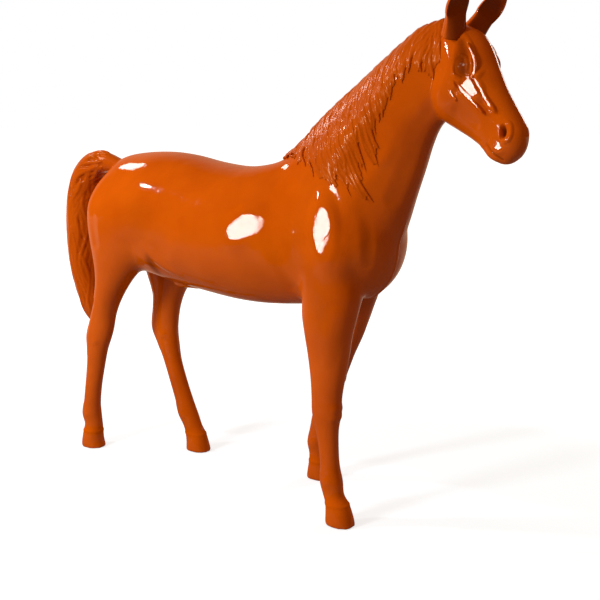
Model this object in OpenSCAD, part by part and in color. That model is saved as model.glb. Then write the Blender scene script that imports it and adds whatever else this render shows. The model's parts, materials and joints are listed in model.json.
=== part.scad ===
// Life-size standing horse sculpture in gloss resin.
// Hollow laminated trunk, neck and head shells in bonded halves, solid-cast legs on steel rods,
// ears on tenons, a tail on a stud, and a bolted steel frame inside.
// X runs towards the head, Y to the horse's left, Z up from the floor. Millimetres.

/* [Stance] */
// Height of the flat joint between trunk and legs
leg_joint_z = 770; // [760:1:785]
// Height of the middle of the knee
knee_z = 450; // [430:1:470]
// Height of the middle of the hock
hock_z = 570; // [550:1:590]
// Height of the middle of the fetlock
fetlock_z = 170; // [160:1:185]
// Height of the top of the hoof wall
coronet_z = 85; // [75:1:95]
// Length of the sole of a hoof
hoof_len = 128; // [116:1:140]
// Width of the sole of a hoof
hoof_w = 106; // [96:1:118]

/* [Trunk] */
// Place of the shoulder joint ahead of the middle of the barrel
shoulder_x = 520; // [500:1:540]
// Place of the hip joint, behind the middle of the barrel
hip_x = -520; // [-540:1:-500]
// Height of the withers
withers_z = 1466; // [1440:1:1490]
// Height of the lowest point of the back
back_z = 1418; // [1400:1:1435]
// Height of the croup
croup_z = 1468; // [1445:1:1485]
// Height of the underside of the barrel
belly_z = 830; // [820:1:845]
// Width of the barrel
barrel_w = 578; // [560:2:600]
// Width of the trunk across the shoulders
chest_w = 480; // [440:2:510]
// Width of the trunk across the hips
hip_w = 524; // [490:2:550]

/* [Head] */
// Turn of the head to the horse's right, in degrees
head_turn = 12; // [0:1:16]
// Width of the head across the eye sockets
brow_w = 206; // [190:2:220]
// Width of the muzzle across the nostrils
muzzle_w = 118; // [108:2:130]
// Length of an ear above the skull
ear_len = 165; // [140:1:185]
// Side of the square tenon that holds an ear
ear_tenon = 24; // [18:1:28]

/* [Shell] */
// Thickness of the laminated shell
wall = 7; // [5:0.5:10]
// Thickness of the strips and collars laminated inside the seams
tape_t = 4; // [3:0.5:6]
// Width of the seam strips
strip_w = 90; // [60:2:120]
// Length of the collars inside the neck and head joints
collar_len = 110; // [80:2:140]
// Height of the plug on top of each leg
plug_h = 50; // [30:1:55]
// Clearance around a plug, tenon or tail root
joint_gap = 1.5; // [1:0.1:2.5]

/* [Frame] */
// Diameter of the steel rod in each leg
rod_d = 25; // [20:1:28]
// Height of the underside of the frame plates
plate_z = 1100; // [1090:1:1120]
// Thickness of the frame plates
plate_t = 12; // [10:1:16]
// Length of each frame plate along the horse
plate_len = 200; // [190:2:230]
// Width of the frame plates
plate_w = 420; // [410:2:440]
// Side of the square spine beam
beam_side = 60; // [50:2:70]
// Wall of the spine beam
beam_wall = 4; // [3:0.5:6]
// Thickness of the plywood formers
former_t = 24; // [18:1:30]
// Side of the square neck post
post_side = 45; // [40:1:60]
// Wall of the neck post
post_wall = 4; // [3:0.5:6]
// Diameter of the tail stud
tail_stud_d = 16; // [12:1:20]
// Diameter of the bolts that hold the spine beam to the plates
beam_bolt_d = 12; // [10:1:14]

/* [Floor anchors] */
// Outside diameter of the threaded bush in each hoof
bush_d = 44; // [38:1:50]
// Height of the bush
bush_h = 30; // [24:1:36]
// Core diameter of its M16 thread
bush_core_d = 14; // [12:0.5:16]

/* [Hidden] */
RIGHT = -1;
LEFT = 1;
gelcoat = "#c8500f";
steel = "#8d9298";
plywood = "#c9a56b";
laminate = "#b9b48d";
$fn = 48;
reach = 3000;

// The box of the whole figure is centred on this place along the trunk
mid_x = (shoulder_x + hip_x) / 2 + 113;

// Trunk sections: x, top, bottom, half width, squareness above and below the widest line
trunk_keys = [
    [hip_x - 255, croup_z - 96, belly_z + 320, 70, 2.0, 2.0],
    [hip_x - 225, croup_z - 60, belly_z + 240, 135, 2.0, 2.0],
    [hip_x - 150, croup_z - 24, belly_z + 150, hip_w / 2 - 50, 2.0, 2.0],
    [hip_x - 40, croup_z - 6, belly_z + 85, hip_w / 2 - 18, 1.9, 2.1],
    [hip_x + 90, croup_z, belly_z + 52, hip_w / 2, 1.9, 2.1],
    [hip_x + 230, croup_z - 10, belly_z + 32, hip_w / 2 + 8, 1.9, 2.1],
    [-140, back_z + 14, belly_z + 16, barrel_w / 2 - 6, 2.0, 2.1],
    [20, back_z, belly_z + 2, barrel_w / 2, 2.0, 2.1],
    [150, back_z + 16, belly_z, barrel_w / 2 - 8, 1.8, 2.1],
    [shoulder_x - 255, withers_z, belly_z + 8, barrel_w / 2 - 28, 1.55, 2.1],
    [shoulder_x - 120, withers_z + 14, belly_z + 24, chest_w / 2 + 4, 1.55, 2.1],
    [shoulder_x + 20, withers_z - 26, belly_z + 44, chest_w / 2 - 4, 1.8, 2.1],
    [shoulder_x + 145, withers_z - 86, belly_z + 84, chest_w / 2 - 42, 2.0, 2.1],
    [shoulder_x + 216, withers_z - 166, belly_z + 150, chest_w / 2 - 92, 2.0, 2.0],
    [shoulder_x + 252, withers_z - 246, belly_z + 240, 72, 2.0, 2.0]
];

// Neck sections: x, z, pitch, half width, half depth
neck_keys = [
    [shoulder_x - 88, withers_z - 254, 54, 212, 342],
    [shoulder_x + 27, withers_z - 116, 55, 188, 299],
    [shoulder_x + 116, withers_z + 12, 51, 152, 262],
    [shoulder_x + 211, withers_z + 130, 42, 126, 223],
    [shoulder_x + 292, withers_z + 229, 29, 107, 198],
    [shoulder_x + 372, withers_z + 312, 16, 95, 186],
    [shoulder_x + 470, withers_z + 356, 6, 86, 168]
];
crest_squareness = 1.6;
throat_squareness = 2.1;

// Head sections along its own axis: distance, crown, jaw, half width, squareness above and below
head_origin = [shoulder_x + 516, 0, withers_z + 348];
head_pitch = -50;
head_keys = [
    [-118, 112, -40, 66, 2.0, 2.0],
    [-40, 150, -120, brow_w / 2 - 14, 2.2, 2.0],
    [35, 147, -160, brow_w / 2, 2.4, 2.2],
    [105, 131, -166, brow_w / 2 - 8, 2.4, 2.2],
    [175, 115, -138, brow_w / 2 - 30, 2.2, 2.2],
    [245, 106, -108, brow_w / 2 - 44, 2.2, 2.2],
    [308, 100, -88, muzzle_w / 2 - 2, 2.2, 2.2],
    [356, 91, -80, muzzle_w / 2, 2.2, 2.2],
    [395, 60, -60, muzzle_w / 2 - 14, 2.0, 2.0],
    [413, 26, -34, 26, 2.0, 2.0]
];

// Heights of limb sections: shares of the way up from the leg joint, or from above the knee
function shoulder_row(share) = leg_joint_z + share * (withers_z - leg_joint_z);

function haunch_row(share) = leg_joint_z + share * (croup_z - leg_joint_z);

function forearm_row(share) = knee_z + 70 + share * (leg_joint_z - knee_z - 70);

// Limb sections: height, back edge, front edge, distance from the middle, half width
shoulder_keys = [
    [shoulder_row(0.95), shoulder_x - 280, shoulder_x - 120, 60, 45],
    [shoulder_row(0.82), shoulder_x - 255, shoulder_x + 25, 85, 84],
    [shoulder_row(0.66), shoulder_x - 192, shoulder_x + 125, 110, chest_w / 2 - 126],
    [shoulder_row(0.5), shoulder_x - 132, shoulder_x + 170, 124, chest_w / 2 - 117],
    [shoulder_row(0.36), shoulder_x - 108, shoulder_x + 156, 136, chest_w / 2 - 122]
];
fore_right_keys = concat(shoulder_keys, [
    [shoulder_row(0.23), shoulder_x - 92, shoulder_x + 170, 152, 102],
    [shoulder_row(0.115), shoulder_x - 84, shoulder_x + 156, 166, 88],
    [leg_joint_z, shoulder_x - 64, shoulder_x + 142, 178, 78],
    [forearm_row(0.68), shoulder_x - 46, shoulder_x + 134, 184, 68],
    [forearm_row(0.32), shoulder_x - 29, shoulder_x + 122, 192, 58],
    [knee_z + 70, shoulder_x - 20, shoulder_x + 112, 198, 51],
    [knee_z, shoulder_x - 14, shoulder_x + 112, 203, 51],
    [knee_z - 60, shoulder_x, shoulder_x + 104, 206, 42],
    [320, shoulder_x + 18, shoulder_x + 106, 210, 37],
    [fetlock_z + 70, shoulder_x + 30, shoulder_x + 114, 214, 37],
    [fetlock_z, shoulder_x + 34, shoulder_x + 132, 218, 43],
    [fetlock_z - 50, shoulder_x + 52, shoulder_x + 142, 224, 39],
    [coronet_z, shoulder_x + 71, shoulder_x + 172, 232, hoof_w / 2 - 9],
    [40, shoulder_x + 76, shoulder_x + 140 + hoof_len / 2 - 12, 236, hoof_w / 2 - 3],
    [0, shoulder_x + 140 - hoof_len / 2, shoulder_x + 140 + hoof_len / 2, 238, hoof_w / 2]
]);
fore_left_keys = concat(shoulder_keys, [
    [shoulder_row(0.23), shoulder_x - 128, shoulder_x + 92, 148, 98],
    [shoulder_row(0.115), shoulder_x - 136, shoulder_x + 47, 156, 86],
    [leg_joint_z, shoulder_x - 148, shoulder_x + 17, 162, 76],
    [forearm_row(0.68), shoulder_x - 168, shoulder_x - 12, 164, 66],
    [forearm_row(0.32), shoulder_x - 192, shoulder_x - 52, 162, 56],
    [knee_z + 70, shoulder_x - 210, shoulder_x - 82, 160, 49],
    [knee_z, shoulder_x - 228, shoulder_x - 108, 158, 50],
    [knee_z - 60, shoulder_x - 238, shoulder_x - 138, 156, 42],
    [320, shoulder_x - 252, shoulder_x - 166, 154, 37],
    [fetlock_z + 70, shoulder_x - 266, shoulder_x - 182, 152, 37],
    [fetlock_z, shoulder_x - 278, shoulder_x - 182, 150, 43],
    [fetlock_z - 50, shoulder_x - 268, shoulder_x - 180, 150, 39],
    [coronet_z, shoulder_x - 268, shoulder_x - 172, 150, hoof_w / 2 - 9],
    [40, shoulder_x - 274, shoulder_x - 216 + hoof_len / 2 - 12, 150, hoof_w / 2 - 3],
    [0, shoulder_x - 216 - hoof_len / 2, shoulder_x - 216 + hoof_len / 2, 150, hoof_w / 2]
]);
haunch_keys = [
    [haunch_row(0.9), hip_x - 180, hip_x + 50, 70, 60],
    [haunch_row(0.79), hip_x - 245, hip_x + 122, 105, 104],
    [haunch_row(0.645), hip_x - 286, hip_x + 162, 126, hip_w / 2 - 129]
];
hind_right_keys = concat(haunch_keys, [
    [haunch_row(0.487), hip_x - 283, hip_x + 152, 136, 128],
    [haunch_row(0.344), hip_x - 264, hip_x + 80, 140, 113],
    [haunch_row(0.23), hip_x - 250, hip_x + 4, 142, 96],
    [haunch_row(0.115), hip_x - 248, hip_x - 74, 144, 78],
    [leg_joint_z, hip_x - 266, hip_x - 130, 145, 65],
    [(leg_joint_z + hock_z + 50) / 2, hip_x - 296, hip_x - 164, 145, 56],
    [hock_z + 50, hip_x - 324, hip_x - 180, 146, 51],
    [hock_z, hip_x - 338, hip_x - 198, 146, 48],
    [hock_z - 60, hip_x - 336, hip_x - 226, 146, 45],
    [430, hip_x - 346, hip_x - 248, 145, 39],
    [330, hip_x - 366, hip_x - 276, 142, 37],
    [fetlock_z + 65, hip_x - 385, hip_x - 295, 139, 38],
    [fetlock_z, hip_x - 398, hip_x - 298, 136, 43],
    [fetlock_z - 50, hip_x - 388, hip_x - 294, 133, 39],
    [coronet_z, hip_x - 398, hip_x - 296, 131, hoof_w / 2 - 9],
    [40, hip_x - 408, hip_x - 351 + hoof_len / 2 - 12, 130, hoof_w / 2 - 3],
    [0, hip_x - 351 - hoof_len / 2, hip_x - 351 + hoof_len / 2, 130, hoof_w / 2]
]);
hind_left_keys = concat(haunch_keys, [
    [haunch_row(0.487), hip_x - 280, hip_x + 182, 136, 128],
    [haunch_row(0.344), hip_x - 255, hip_x + 175, 140, 115],
    [haunch_row(0.23), hip_x - 218, hip_x + 130, 143, 100],
    [haunch_row(0.115), hip_x - 186, hip_x + 72, 145, 84],
    [leg_joint_z, hip_x - 160, hip_x + 12, 147, 71],
    [(leg_joint_z + hock_z + 50) / 2, hip_x - 166, hip_x - 16, 147, 60],
    [hock_z + 50, hip_x - 178, hip_x - 26, 146, 52],
    [hock_z, hip_x - 172, hip_x - 26, 144, 49],
    [hock_z - 60, hip_x - 140, hip_x - 18, 142, 45],
    [430, hip_x - 102, hip_x - 2, 139, 39],
    [330, hip_x - 62, hip_x + 36, 135, 37],
    [fetlock_z + 65, hip_x - 24, hip_x + 78, 131, 38],
    [fetlock_z, hip_x - 1, hip_x + 108, 128, 43],
    [fetlock_z - 50, hip_x + 32, hip_x + 134, 125, 39],
    [coronet_z, hip_x + 50, hip_x + 158, 122, hoof_w / 2 - 9],
    [40, hip_x + 60, hip_x + 122 + hoof_len / 2 - 12, 120, hoof_w / 2 - 3],
    [0, hip_x + 122 - hoof_len / 2, hip_x + 122 + hoof_len / 2, 120, hoof_w / 2]
]);

// Tail sections from the root out: x, z, pitch, half width, half depth
tail_keys = [
    [hip_x - 140, croup_z - 92, 180, 40, 36],
    [hip_x - 220, croup_z - 82, 176, 44, 40],
    [hip_x - 305, croup_z - 66, 181, 50, 52],
    [hip_x - 388, croup_z - 80, 202, 58, 62],
    [hip_x - 456, croup_z - 138, 236, 64, 67],
    [hip_x - 494, croup_z - 230, 260, 68, 70],
    [hip_x - 508, croup_z - 338, 269, 72, 71],
    [hip_x - 508, croup_z - 458, 272, 74, 71],
    [hip_x - 498, croup_z - 578, 277, 72, 67],
    [hip_x - 478, croup_z - 688, 282, 66, 62],
    [hip_x - 454, croup_z - 778, 288, 54, 52],
    [hip_x - 430, croup_z - 843, 292, 36, 36],
    [hip_x - 414, croup_z - 888, 294, 8, 8]
];

// Flat joints: a point in the middle plane and the pitch of the joint's normal
neck_joint = [shoulder_x + 30, 0, withers_z - 106];
neck_joint_pitch = 56;
head_joint = [shoulder_x + 418, 0, withers_z + 324];
head_joint_pitch = 2;
joint_axis = [cos(neck_joint_pitch), 0, sin(neck_joint_pitch)];
neck_collar_back = neck_joint - collar_len / 2 * joint_axis;

// Facets round a limb, a rod and the tail, and rings along a leg
limb_sides = 13;
rod_sides = 24;
limb_squareness = 2.2;
leg_rings = 13;
tail_sides = 16;
tail_locks = 4;

// Ears on the turned head
ear_root = [shoulder_x + 536, 0, withers_z + 500];
ear_spread = 66;
ear_splay = 19;
ear_lean_right = 25;
ear_lean_left = 33;
ear_turn_right = -8;
ear_turn_left = -24;
ear_tenon_h = 50;

// Frame places
rod_gap = 0.4;
rod_bend = 1;
washer_t = 4;
rod_nut_af = 36;
rod_nut_h = 19;
beam_bolt_af = 18;
beam_nut_h = 10;
beam_head_h = 8;
beam_bolt_step = 60;
tail_nut_h = 13;
tail_root_x = tail_keys[0][0];
tail_root_z = tail_keys[0][1];
tail_stud_grip = 60;
tail_block_side = 80;
rod_tops = [
    limb_centre(fore_right_keys, RIGHT, leg_joint_z), limb_centre(fore_left_keys, LEFT, leg_joint_z),
    limb_centre(hind_right_keys, RIGHT, leg_joint_z), limb_centre(hind_left_keys, LEFT, leg_joint_z)
];
hoof_places = [
    limb_centre(fore_right_keys, RIGHT, 0), limb_centre(fore_left_keys, LEFT, 0),
    limb_centre(hind_right_keys, RIGHT, 0), limb_centre(hind_left_keys, LEFT, 0)
];
fore_plate_x = (rod_tops[0][0] + rod_tops[1][0]) / 2;
hind_plate_x = (rod_tops[2][0] + rod_tops[3][0]) / 2;
rod_top_z = plate_z + plate_t + washer_t + rod_nut_h + 8;
beam_z = plate_z + plate_t;
beam_back_x = hind_plate_x - plate_len / 2;
beam_front_x = shoulder_x + 170;
fore_former_x = fore_plate_x - plate_len / 2 - former_t;
hind_former_x = hind_plate_x + plate_len / 2;
post_foot = [shoulder_x + 125, 0, beam_z + beam_side];
post_pitch = 69;
post_len = 560;
// The neck former stands past the neck collar, measured along the post
neck_former_past = 190;
post_to_joint = (neck_joint - post_foot) * joint_axis / cos(post_pitch - neck_joint_pitch);
neck_former_at = post_to_joint + collar_len / 2 + neck_former_past;

function fore_keys(side) = side > 0 ? fore_left_keys : fore_right_keys;

function hind_keys(side) = side > 0 ? hind_left_keys : hind_right_keys;

// A smooth curve through rows of equal length, at t from 0 to the last row's number
function smooth_row(keys, t) =
    let (last = len(keys) - 1, i = min(floor(t), last - 1), f = t - i,
         a = keys[max(i - 1, 0)], b = keys[i], c = keys[i + 1], d = keys[min(i + 2, last)])
    b + 0.5 * f * (c - a + f * (2 * a - 5 * b + 4 * c - d + f * (3 * (b - c) + d - a)));

// One point of a section round its centre: angle 0 is left, 90 is up
function section_point(centre, pitch, w, up, down, n_up, n_down, angle) =
    let (c = cos(angle), s = sin(angle), power = 2 / (s > 0 ? n_up : n_down),
         side = w * sign(c) * pow(abs(c), power),
         rise = (s > 0 ? up : down) * sign(s) * pow(abs(s), power))
    centre + [-sin(pitch) * rise, side, cos(pitch) * rise];

function section(centre, pitch, w, up, down, n_up, n_down, sides) =
    [for (k = [0 : sides - 1])
        section_point(centre, pitch, w, up, down, n_up, n_down, 360 * k / sides)];

// Row numbers at even steps along a list of keys, with the ends trimmed
function steps(keys, per_key, trim = 0) =
    let (last = len(keys) - 1, count = round(last * per_key))
    [for (i = [0 : count]) trim + (last - 2 * trim) * i / count];

function trunk_section(t, inset, sides) =
    let (k = smooth_row(trunk_keys, t), widest = k[2] + 0.48 * (k[1] - k[2]))
    section([k[0], 0, widest], 0, k[3] - inset, k[1] - widest - inset, widest - k[2] - inset,
            k[4], k[5], sides);

function neck_surface(t, angle, lift) =
    let (k = smooth_row(neck_keys, t))
    section_point([k[0], 0, k[1]], k[2], k[3] + lift, k[4] + lift, k[4] + lift,
                  crest_squareness, throat_squareness, angle);

function neck_section(t, inset, sides) =
    [for (k = [0 : sides - 1]) neck_surface(t, 360 * k / sides, -inset)];

// A place on the head's own axis, seen from the side: along it, above it and to the left
function head_place(along, above, left) =
    head_origin + [cos(head_pitch) * along - sin(head_pitch) * above, left,
                   sin(head_pitch) * along + cos(head_pitch) * above];

function head_section(t, inset, sides) =
    let (k = smooth_row(head_keys, t), mid = (k[1] + k[2]) / 2, half = (k[1] - k[2]) / 2 - inset)
    section(head_place(k[0], mid, 0), head_pitch, k[3] - inset, half, half, k[4], k[5], sides);

function limb_section(keys, side, t, inset, sides) =
    let (k = smooth_row(keys, t), half = (k[2] - k[1]) / 2 - inset)
    section([(k[1] + k[2]) / 2, side * k[3], k[0]], -90, k[4] - inset, half, half,
            limb_squareness, limb_squareness, sides);

// The row number at which a limb reaches a height
function limb_row(keys, z) =
    let (i = max([for (j = [0 : len(keys) - 2]) if (keys[j][0] >= z) j]))
    i + (keys[i][0] - z) / (keys[i][0] - keys[i + 1][0]);

function limb_centre(keys, side, z) =
    let (k = smooth_row(keys, limb_row(keys, z)))
    [(k[1] + k[2]) / 2, side * k[3], z];

// A closed skin over a list of rings with the same number of points
module loft(rings) {
    n = len(rings[0]);
    last = len(rings) - 1;
    polyhedron(
        points = [for (ring = rings) each ring],
        faces = concat(
            [[for (k = [0 : n - 1]) k]],
            [[for (k = [n - 1 : -1 : 0]) last * n + k]],
            [for (i = [0 : last - 1], k = [0 : n - 1])
                let (a = i * n + k, b = i * n + (k + 1) % n)
                each [[a, a + n, b], [b, a + n, b + n]]]));
}

module trunk_form(inset = 0) {
    sides = inset > 0 ? 14 : 22;
    rows = inset > 0 ? steps(trunk_keys, 0.7, 0.3) : steps(trunk_keys, 1.1);
    loft([for (t = rows) trunk_section(t, inset, sides)]);
}

module neck_form(inset = 0) {
    sides = inset > 0 ? 14 : 22;
    rows = steps(neck_keys, inset > 0 ? 0.8 : 1.5);
    loft([for (t = rows) neck_section(t, inset, sides)]);
}

module turned_head() {
    translate(head_joint) rotate([0, 0, -head_turn]) translate(-head_joint) children();
}

module head_form(inset = 0) {
    sides = inset > 0 ? 10 : 18;
    rows = inset > 0 ? steps(head_keys, 0.7, 0.35) : steps(head_keys, 1.2);
    loft([for (t = rows) head_section(t, inset, sides)]);
}

// The part of a limb above the leg joint; a cavity runs on past the joint to leave it open
module limb_form(keys, side, inset = 0) {
    above = [for (k = keys) if (k[0] >= leg_joint_z) k];
    last = len(above) - 1 + (inset > 0 ? 1 : 0);
    loft([for (t = [0 : last]) limb_section(keys, side, t, inset, limb_sides)]);
}

module placed() {
    translate([-mid_x, 0, 0]) children();
}

module half_space(point, pitch) {
    translate(point) rotate([0, -pitch, 0]) translate([0, -reach / 2, -reach / 2]) cube(reach);
}

module side_space(side) {
    translate([-reach, side > 0 ? 0 : -reach, -reach]) cube([2 * reach, reach, 3 * reach]);
}

// Flesh: chains of balls just under the skin, mirrored to each side
function column(keys, i) = [for (k = keys) [k[0], k[i]]];

function head_side(along, above) =
    let (crown = lookup(along, column(head_keys, 1)), jaw = lookup(along, column(head_keys, 2)),
         half = lookup(along, column(head_keys, 3)), mid = (crown + jaw) / 2,
         share = min(1, abs(above - mid) / ((crown - jaw) / 2)),
         n = lookup(along, column(head_keys, above > mid ? 4 : 5)))
    half * pow(1 - pow(share, n), 1 / n);

// A chain of balls, each row a place and a radius
module chain(balls, inset, facets) {
    for (i = [0 : len(balls) - 2])
        hull()
            for (ball = [balls[i], balls[i + 1]])
                translate(ball[0]) sphere(max(ball[1] - inset, 1), $fn = facets);
}

// Neck muscles: place along the neck, angle below or above its side, radius and rise
neck_muscles = [
    [[4.6, -12, 70, 4], [3.2, -18, 85, 5], [2, -24, 100, 6], [1, -28, 110, 5]]
];

module neck_flesh(side, inset) {
    for (muscle = neck_muscles)
        chain([for (m = muscle)
            [neck_surface(m[0], side > 0 ? m[1] : 180 - m[1], m[3] - m[2]), m[2]]], inset, 14);
}

// Breast and sheath, on the middle line: place and radius
breast_balls = [
    [[shoulder_x + 148, 0, belly_z + 300], 100],
    [[shoulder_x + 110, 0, belly_z + 170], 96]
];
sheath_balls = [
    [[hip_x + 265, 0, belly_z + 62], 44],
    [[hip_x + 148, 0, belly_z + 46], 34]
];

module middle_flesh(inset) {
    chain(breast_balls, inset, 20);
    chain(sheath_balls, inset, 14);
}

// Face forms along the head's own axis: distance, height, radius and rise
face_forms = [
    [[60, -62, 70, 6], [100, -92, 62, 6]],
    [[150, -104, 34, 4], [235, -72, 26, 3]],
    [[70, 6, 20, 5], [140, 16, 18, 6], [215, 22, 14, 3]],
    [[-40, 118, 20, 3], [5, 122, 20, 4], [50, 110, 18, 6], [88, 76, 16, 6]],
    [[10, 44, 14, 4], [42, 30, 13, 5], [72, 36, 13, 5]],
    [[32, 72, 26, 6], [50, 64, 26, 6]],
    [[300, 50, 17, 4], [334, 56, 15, 7], [350, 34, 14, 6], [326, 20, 13, 5]],
    [[348, -8, 26, 3], [384, -14, 22, 4]],
    [[330, -58, 22, 3], [368, -52, 18, 4]]
];

module face(side) {
    for (form = face_forms)
        chain([for (m = form)
            [head_place(m[0], m[1], side * (head_side(m[0], m[1]) - m[2] + m[3])), m[2]]], 0, 6);
}

// Hollows of the nostril and the line of the mouth
module face_cuts(side) {
    chain([[head_place(316, 40, side * (head_side(316, 40) + 3)), 10],
           [head_place(334, 36, side * (head_side(334, 36) + 4)), 8]], 0, 8);
    chain([[head_place(318, -42, side * (head_side(318, -42) + 1)), 4],
           [head_place(364, -36, side * (head_side(364, -36) + 1)), 4],
           [head_place(402, -30, side * (head_side(402, -30) + 1)), 4]], 0, 8);
}

// The whole outside, or the same forms drawn in by a thickness
module skin(inset = 0) {
    trunk_form(inset);
    neck_form(inset);
    middle_flesh(inset);
    for (side = [RIGHT, LEFT]) {
        limb_form(fore_keys(side), side, inset);
        limb_form(hind_keys(side), side, inset);
        neck_flesh(side, inset);
    }
    turned_head() {
        head_form(inset);
        if (inset == 0) {
            face(RIGHT);
            face(LEFT);
        }
    }
}

// Shells

module torso_shell(side) {
    color(gelcoat) placed() difference() {
        intersection() {
            skin();
            side_space(side);
        }
        skin(wall);
        half_space(neck_joint, neck_joint_pitch);
        tail_form(joint_gap);
    }
}

module torso_shell_right() {
    torso_shell(RIGHT);
}

module torso_shell_left() {
    torso_shell(LEFT);
}

module neck_shell(side) {
    color(gelcoat) placed() difference() {
        intersection() {
            skin();
            side_space(side);
            half_space(neck_joint, neck_joint_pitch);
        }
        skin(wall);
        half_space(head_joint, head_joint_pitch);
    }
}

module neck_shell_right() {
    neck_shell(RIGHT);
}

module neck_shell_left() {
    neck_shell(LEFT);
}

module head_shell(side) {
    color(gelcoat) placed() difference() {
        intersection() {
            skin();
            turned_head() side_space(side);
            half_space(head_joint, head_joint_pitch);
        }
        skin(wall);
        turned_head() {
            face_cuts(side);
            ear_seat(side) tenon(ear_tenon + 2 * joint_gap, ear_tenon_h + 1);
        }
    }
}

module head_shell_right() {
    head_shell(RIGHT);
}

module head_shell_left() {
    head_shell(LEFT);
}

// Ears: leaf shapes, hollow in front, each on a square tenon

// Ear sections: height, shift forward, half width, depth behind and depth in front
ear_keys = [
    [ear_len, 8, 5, 5, 4],
    [0.9 * ear_len, 6, 20, 17, 3],
    [0.72 * ear_len, 4, 38, 30, -8],
    [0.5 * ear_len, 2, 47, 38, -14],
    [0.28 * ear_len, 0, 46, 40, -8],
    [8, 0, 38, 36, 18],
    [-26, 0, 32, 30, 26]
];

module ear_seat(side) {
    translate(ear_root) translate([0, side * ear_spread, 0])
        rotate([-side * ear_splay, side > 0 ? ear_lean_left : ear_lean_right, 0])
            rotate([0, 0, side > 0 ? ear_turn_left : ear_turn_right]) children();
}

module tenon(side, h) {
    translate([-side / 2, -side / 2, -h]) cube([side, side, h]);
}

module ear_form() {
    loft([for (t = steps(ear_keys, 1.5)) let (k = smooth_row(ear_keys, t))
        section([k[1], 0, k[0]], -90, k[2], k[4], k[3], 2.4, 2, 16)]);
}

module ear(side) {
    color(gelcoat) placed() {
        difference() {
            turned_head() ear_seat(side) ear_form();
            skin();
        }
        turned_head() ear_seat(side) tenon(ear_tenon, ear_tenon_h);
    }
}

module ear_right() {
    ear(RIGHT);
}

module ear_left() {
    ear(LEFT);
}

// Mane: overlapping locks that fall to the right

// The free edge of the mane: place along the neck and angle from the left round the crest
mane_edge = [
    [0.5, 100], [0.9, 106], [1.15, 140], [1.5, 174], [2, 194], [2.6, 188],
    [3.3, 166], [4, 150], [4.6, 152], [5.3, 160], [5.95, 150]
];
mane_sheet_t = 11;
mane_rows = 10;
mane_points = 5;
mane_from = 0.55;
mane_to = 5.92;
// Locks: place of the root along the neck, place and angle of the tip
mane_locks = [
    [5.75, 5.6, 160], [5.35, 5.15, 171], [4.95, 4.75, 171], [4.55, 4.35, 166], [4.15, 3.9, 167],
    [3.75, 3.45, 178], [3.35, 3.02, 186], [2.95, 2.55, 195], [2.55, 2.1, 201], [2.15, 1.7, 199],
    [1.75, 1.38, 189], [1.36, 1.1, 166]
];

function mane_angle(t, i) = 64 + (lookup(t, mane_edge) - 64) * i / mane_points;

module mane_sheet() {
    loft([for (j = [0 : mane_rows]) let (t = mane_from + (mane_to - mane_from) * j / mane_rows)
        concat([for (i = [0 : mane_points])
                   neck_surface(t, mane_angle(t, i), mane_sheet_t)],
               [for (i = [mane_points : -1 : 0])
                   neck_surface(t, mane_angle(t, i), -2 * mane_sheet_t)])]);
}

module mane() {
    color(gelcoat) placed() difference() {
        union() {
            mane_sheet();
            for (lock = mane_locks)
                chain([for (f = [0, 0.5, 1])
                    let (t = lock[0] + (lock[1] - lock[0]) * f, a = 80 + (lock[2] - 80) * f)
                    [neck_surface(t, a, f < 1 ? -2 : 9), f < 1 ? 29 : 11]], 0, 6);
        }
        skin();
    }
}

// Tail: one fluted casting whose root is drawn into the rump by a stud

module tail_form(grow = 0) {
    loft([for (t = steps(tail_keys, 1.3)) let (k = smooth_row(tail_keys, t))
        [for (j = [0 : tail_sides - 1])
            let (a = 360 * j / tail_sides,
                 flute = 1 + (t < 2 ? 0 : 0.06 * cos(tail_locks * a + 60 * t)),
                 w = (k[3] + grow) * flute, h = (k[4] + grow) * flute)
            section_point([k[0], 0, k[1]], k[2], w, h, h, 2, 2, a)]]);
}

module tail() {
    color(gelcoat) placed() difference() {
        tail_form();
        tail_axis(tail_root_x - tail_stud_grip)
            cylinder(d = tail_stud_d + 2 * rod_gap, h = tail_stud_grip + 1);
    }
}

module tail_axis(x) {
    translate([x, 0, tail_root_z]) rotate([0, 90, 0]) children();
}

// Legs: solid castings with a plug above the joint, bored for the rod and the floor bush

module leg(keys, side, middle_z) {
    first = limb_row(keys, leg_joint_z);
    rows = [for (i = [0 : leg_rings]) first + (len(keys) - 1 - first) * i / leg_rings];
    plug_row = limb_row(keys, leg_joint_z + plug_h);
    plug_top = limb_section(keys, side, plug_row, wall + joint_gap, limb_sides);
    plug_foot = limb_section(keys, side, first, wall + joint_gap, limb_sides);
    color(gelcoat) placed() difference() {
        loft(concat([plug_top, plug_foot],
                    [for (t = rows) limb_section(keys, side, t, 0, limb_sides)]));
        rod_form(keys, side, middle_z, rod_gap);
        translate(limb_centre(keys, side, 0)) translate([0, 0, -1])
            cylinder(d = bush_d + 2 * rod_gap, h = bush_h + 1);
    }
}

module fore_leg_right() {
    leg(fore_right_keys, RIGHT, knee_z);
}

module fore_leg_left() {
    leg(fore_left_keys, LEFT, knee_z);
}

module hind_leg_right() {
    leg(hind_right_keys, RIGHT, hock_z);
}

module hind_leg_left() {
    leg(hind_left_keys, LEFT, hock_z);
}

// Laminate inside the joints

module lining() {
    difference() {
        skin(wall);
        skin(wall + tape_t);
    }
}

module joint_slab(point, pitch, depth) {
    translate(point) rotate([0, -pitch, 0])
        translate([-depth / 2, -reach / 2, -reach / 2]) cube([depth, reach, reach]);
}

module neck_collar() {
    color(laminate) placed() intersection() {
        lining();
        joint_slab(neck_joint, neck_joint_pitch, collar_len);
    }
}

module head_collar() {
    color(laminate) placed() intersection() {
        lining();
        joint_slab(head_joint, head_joint_pitch, collar_len);
    }
}

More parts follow.
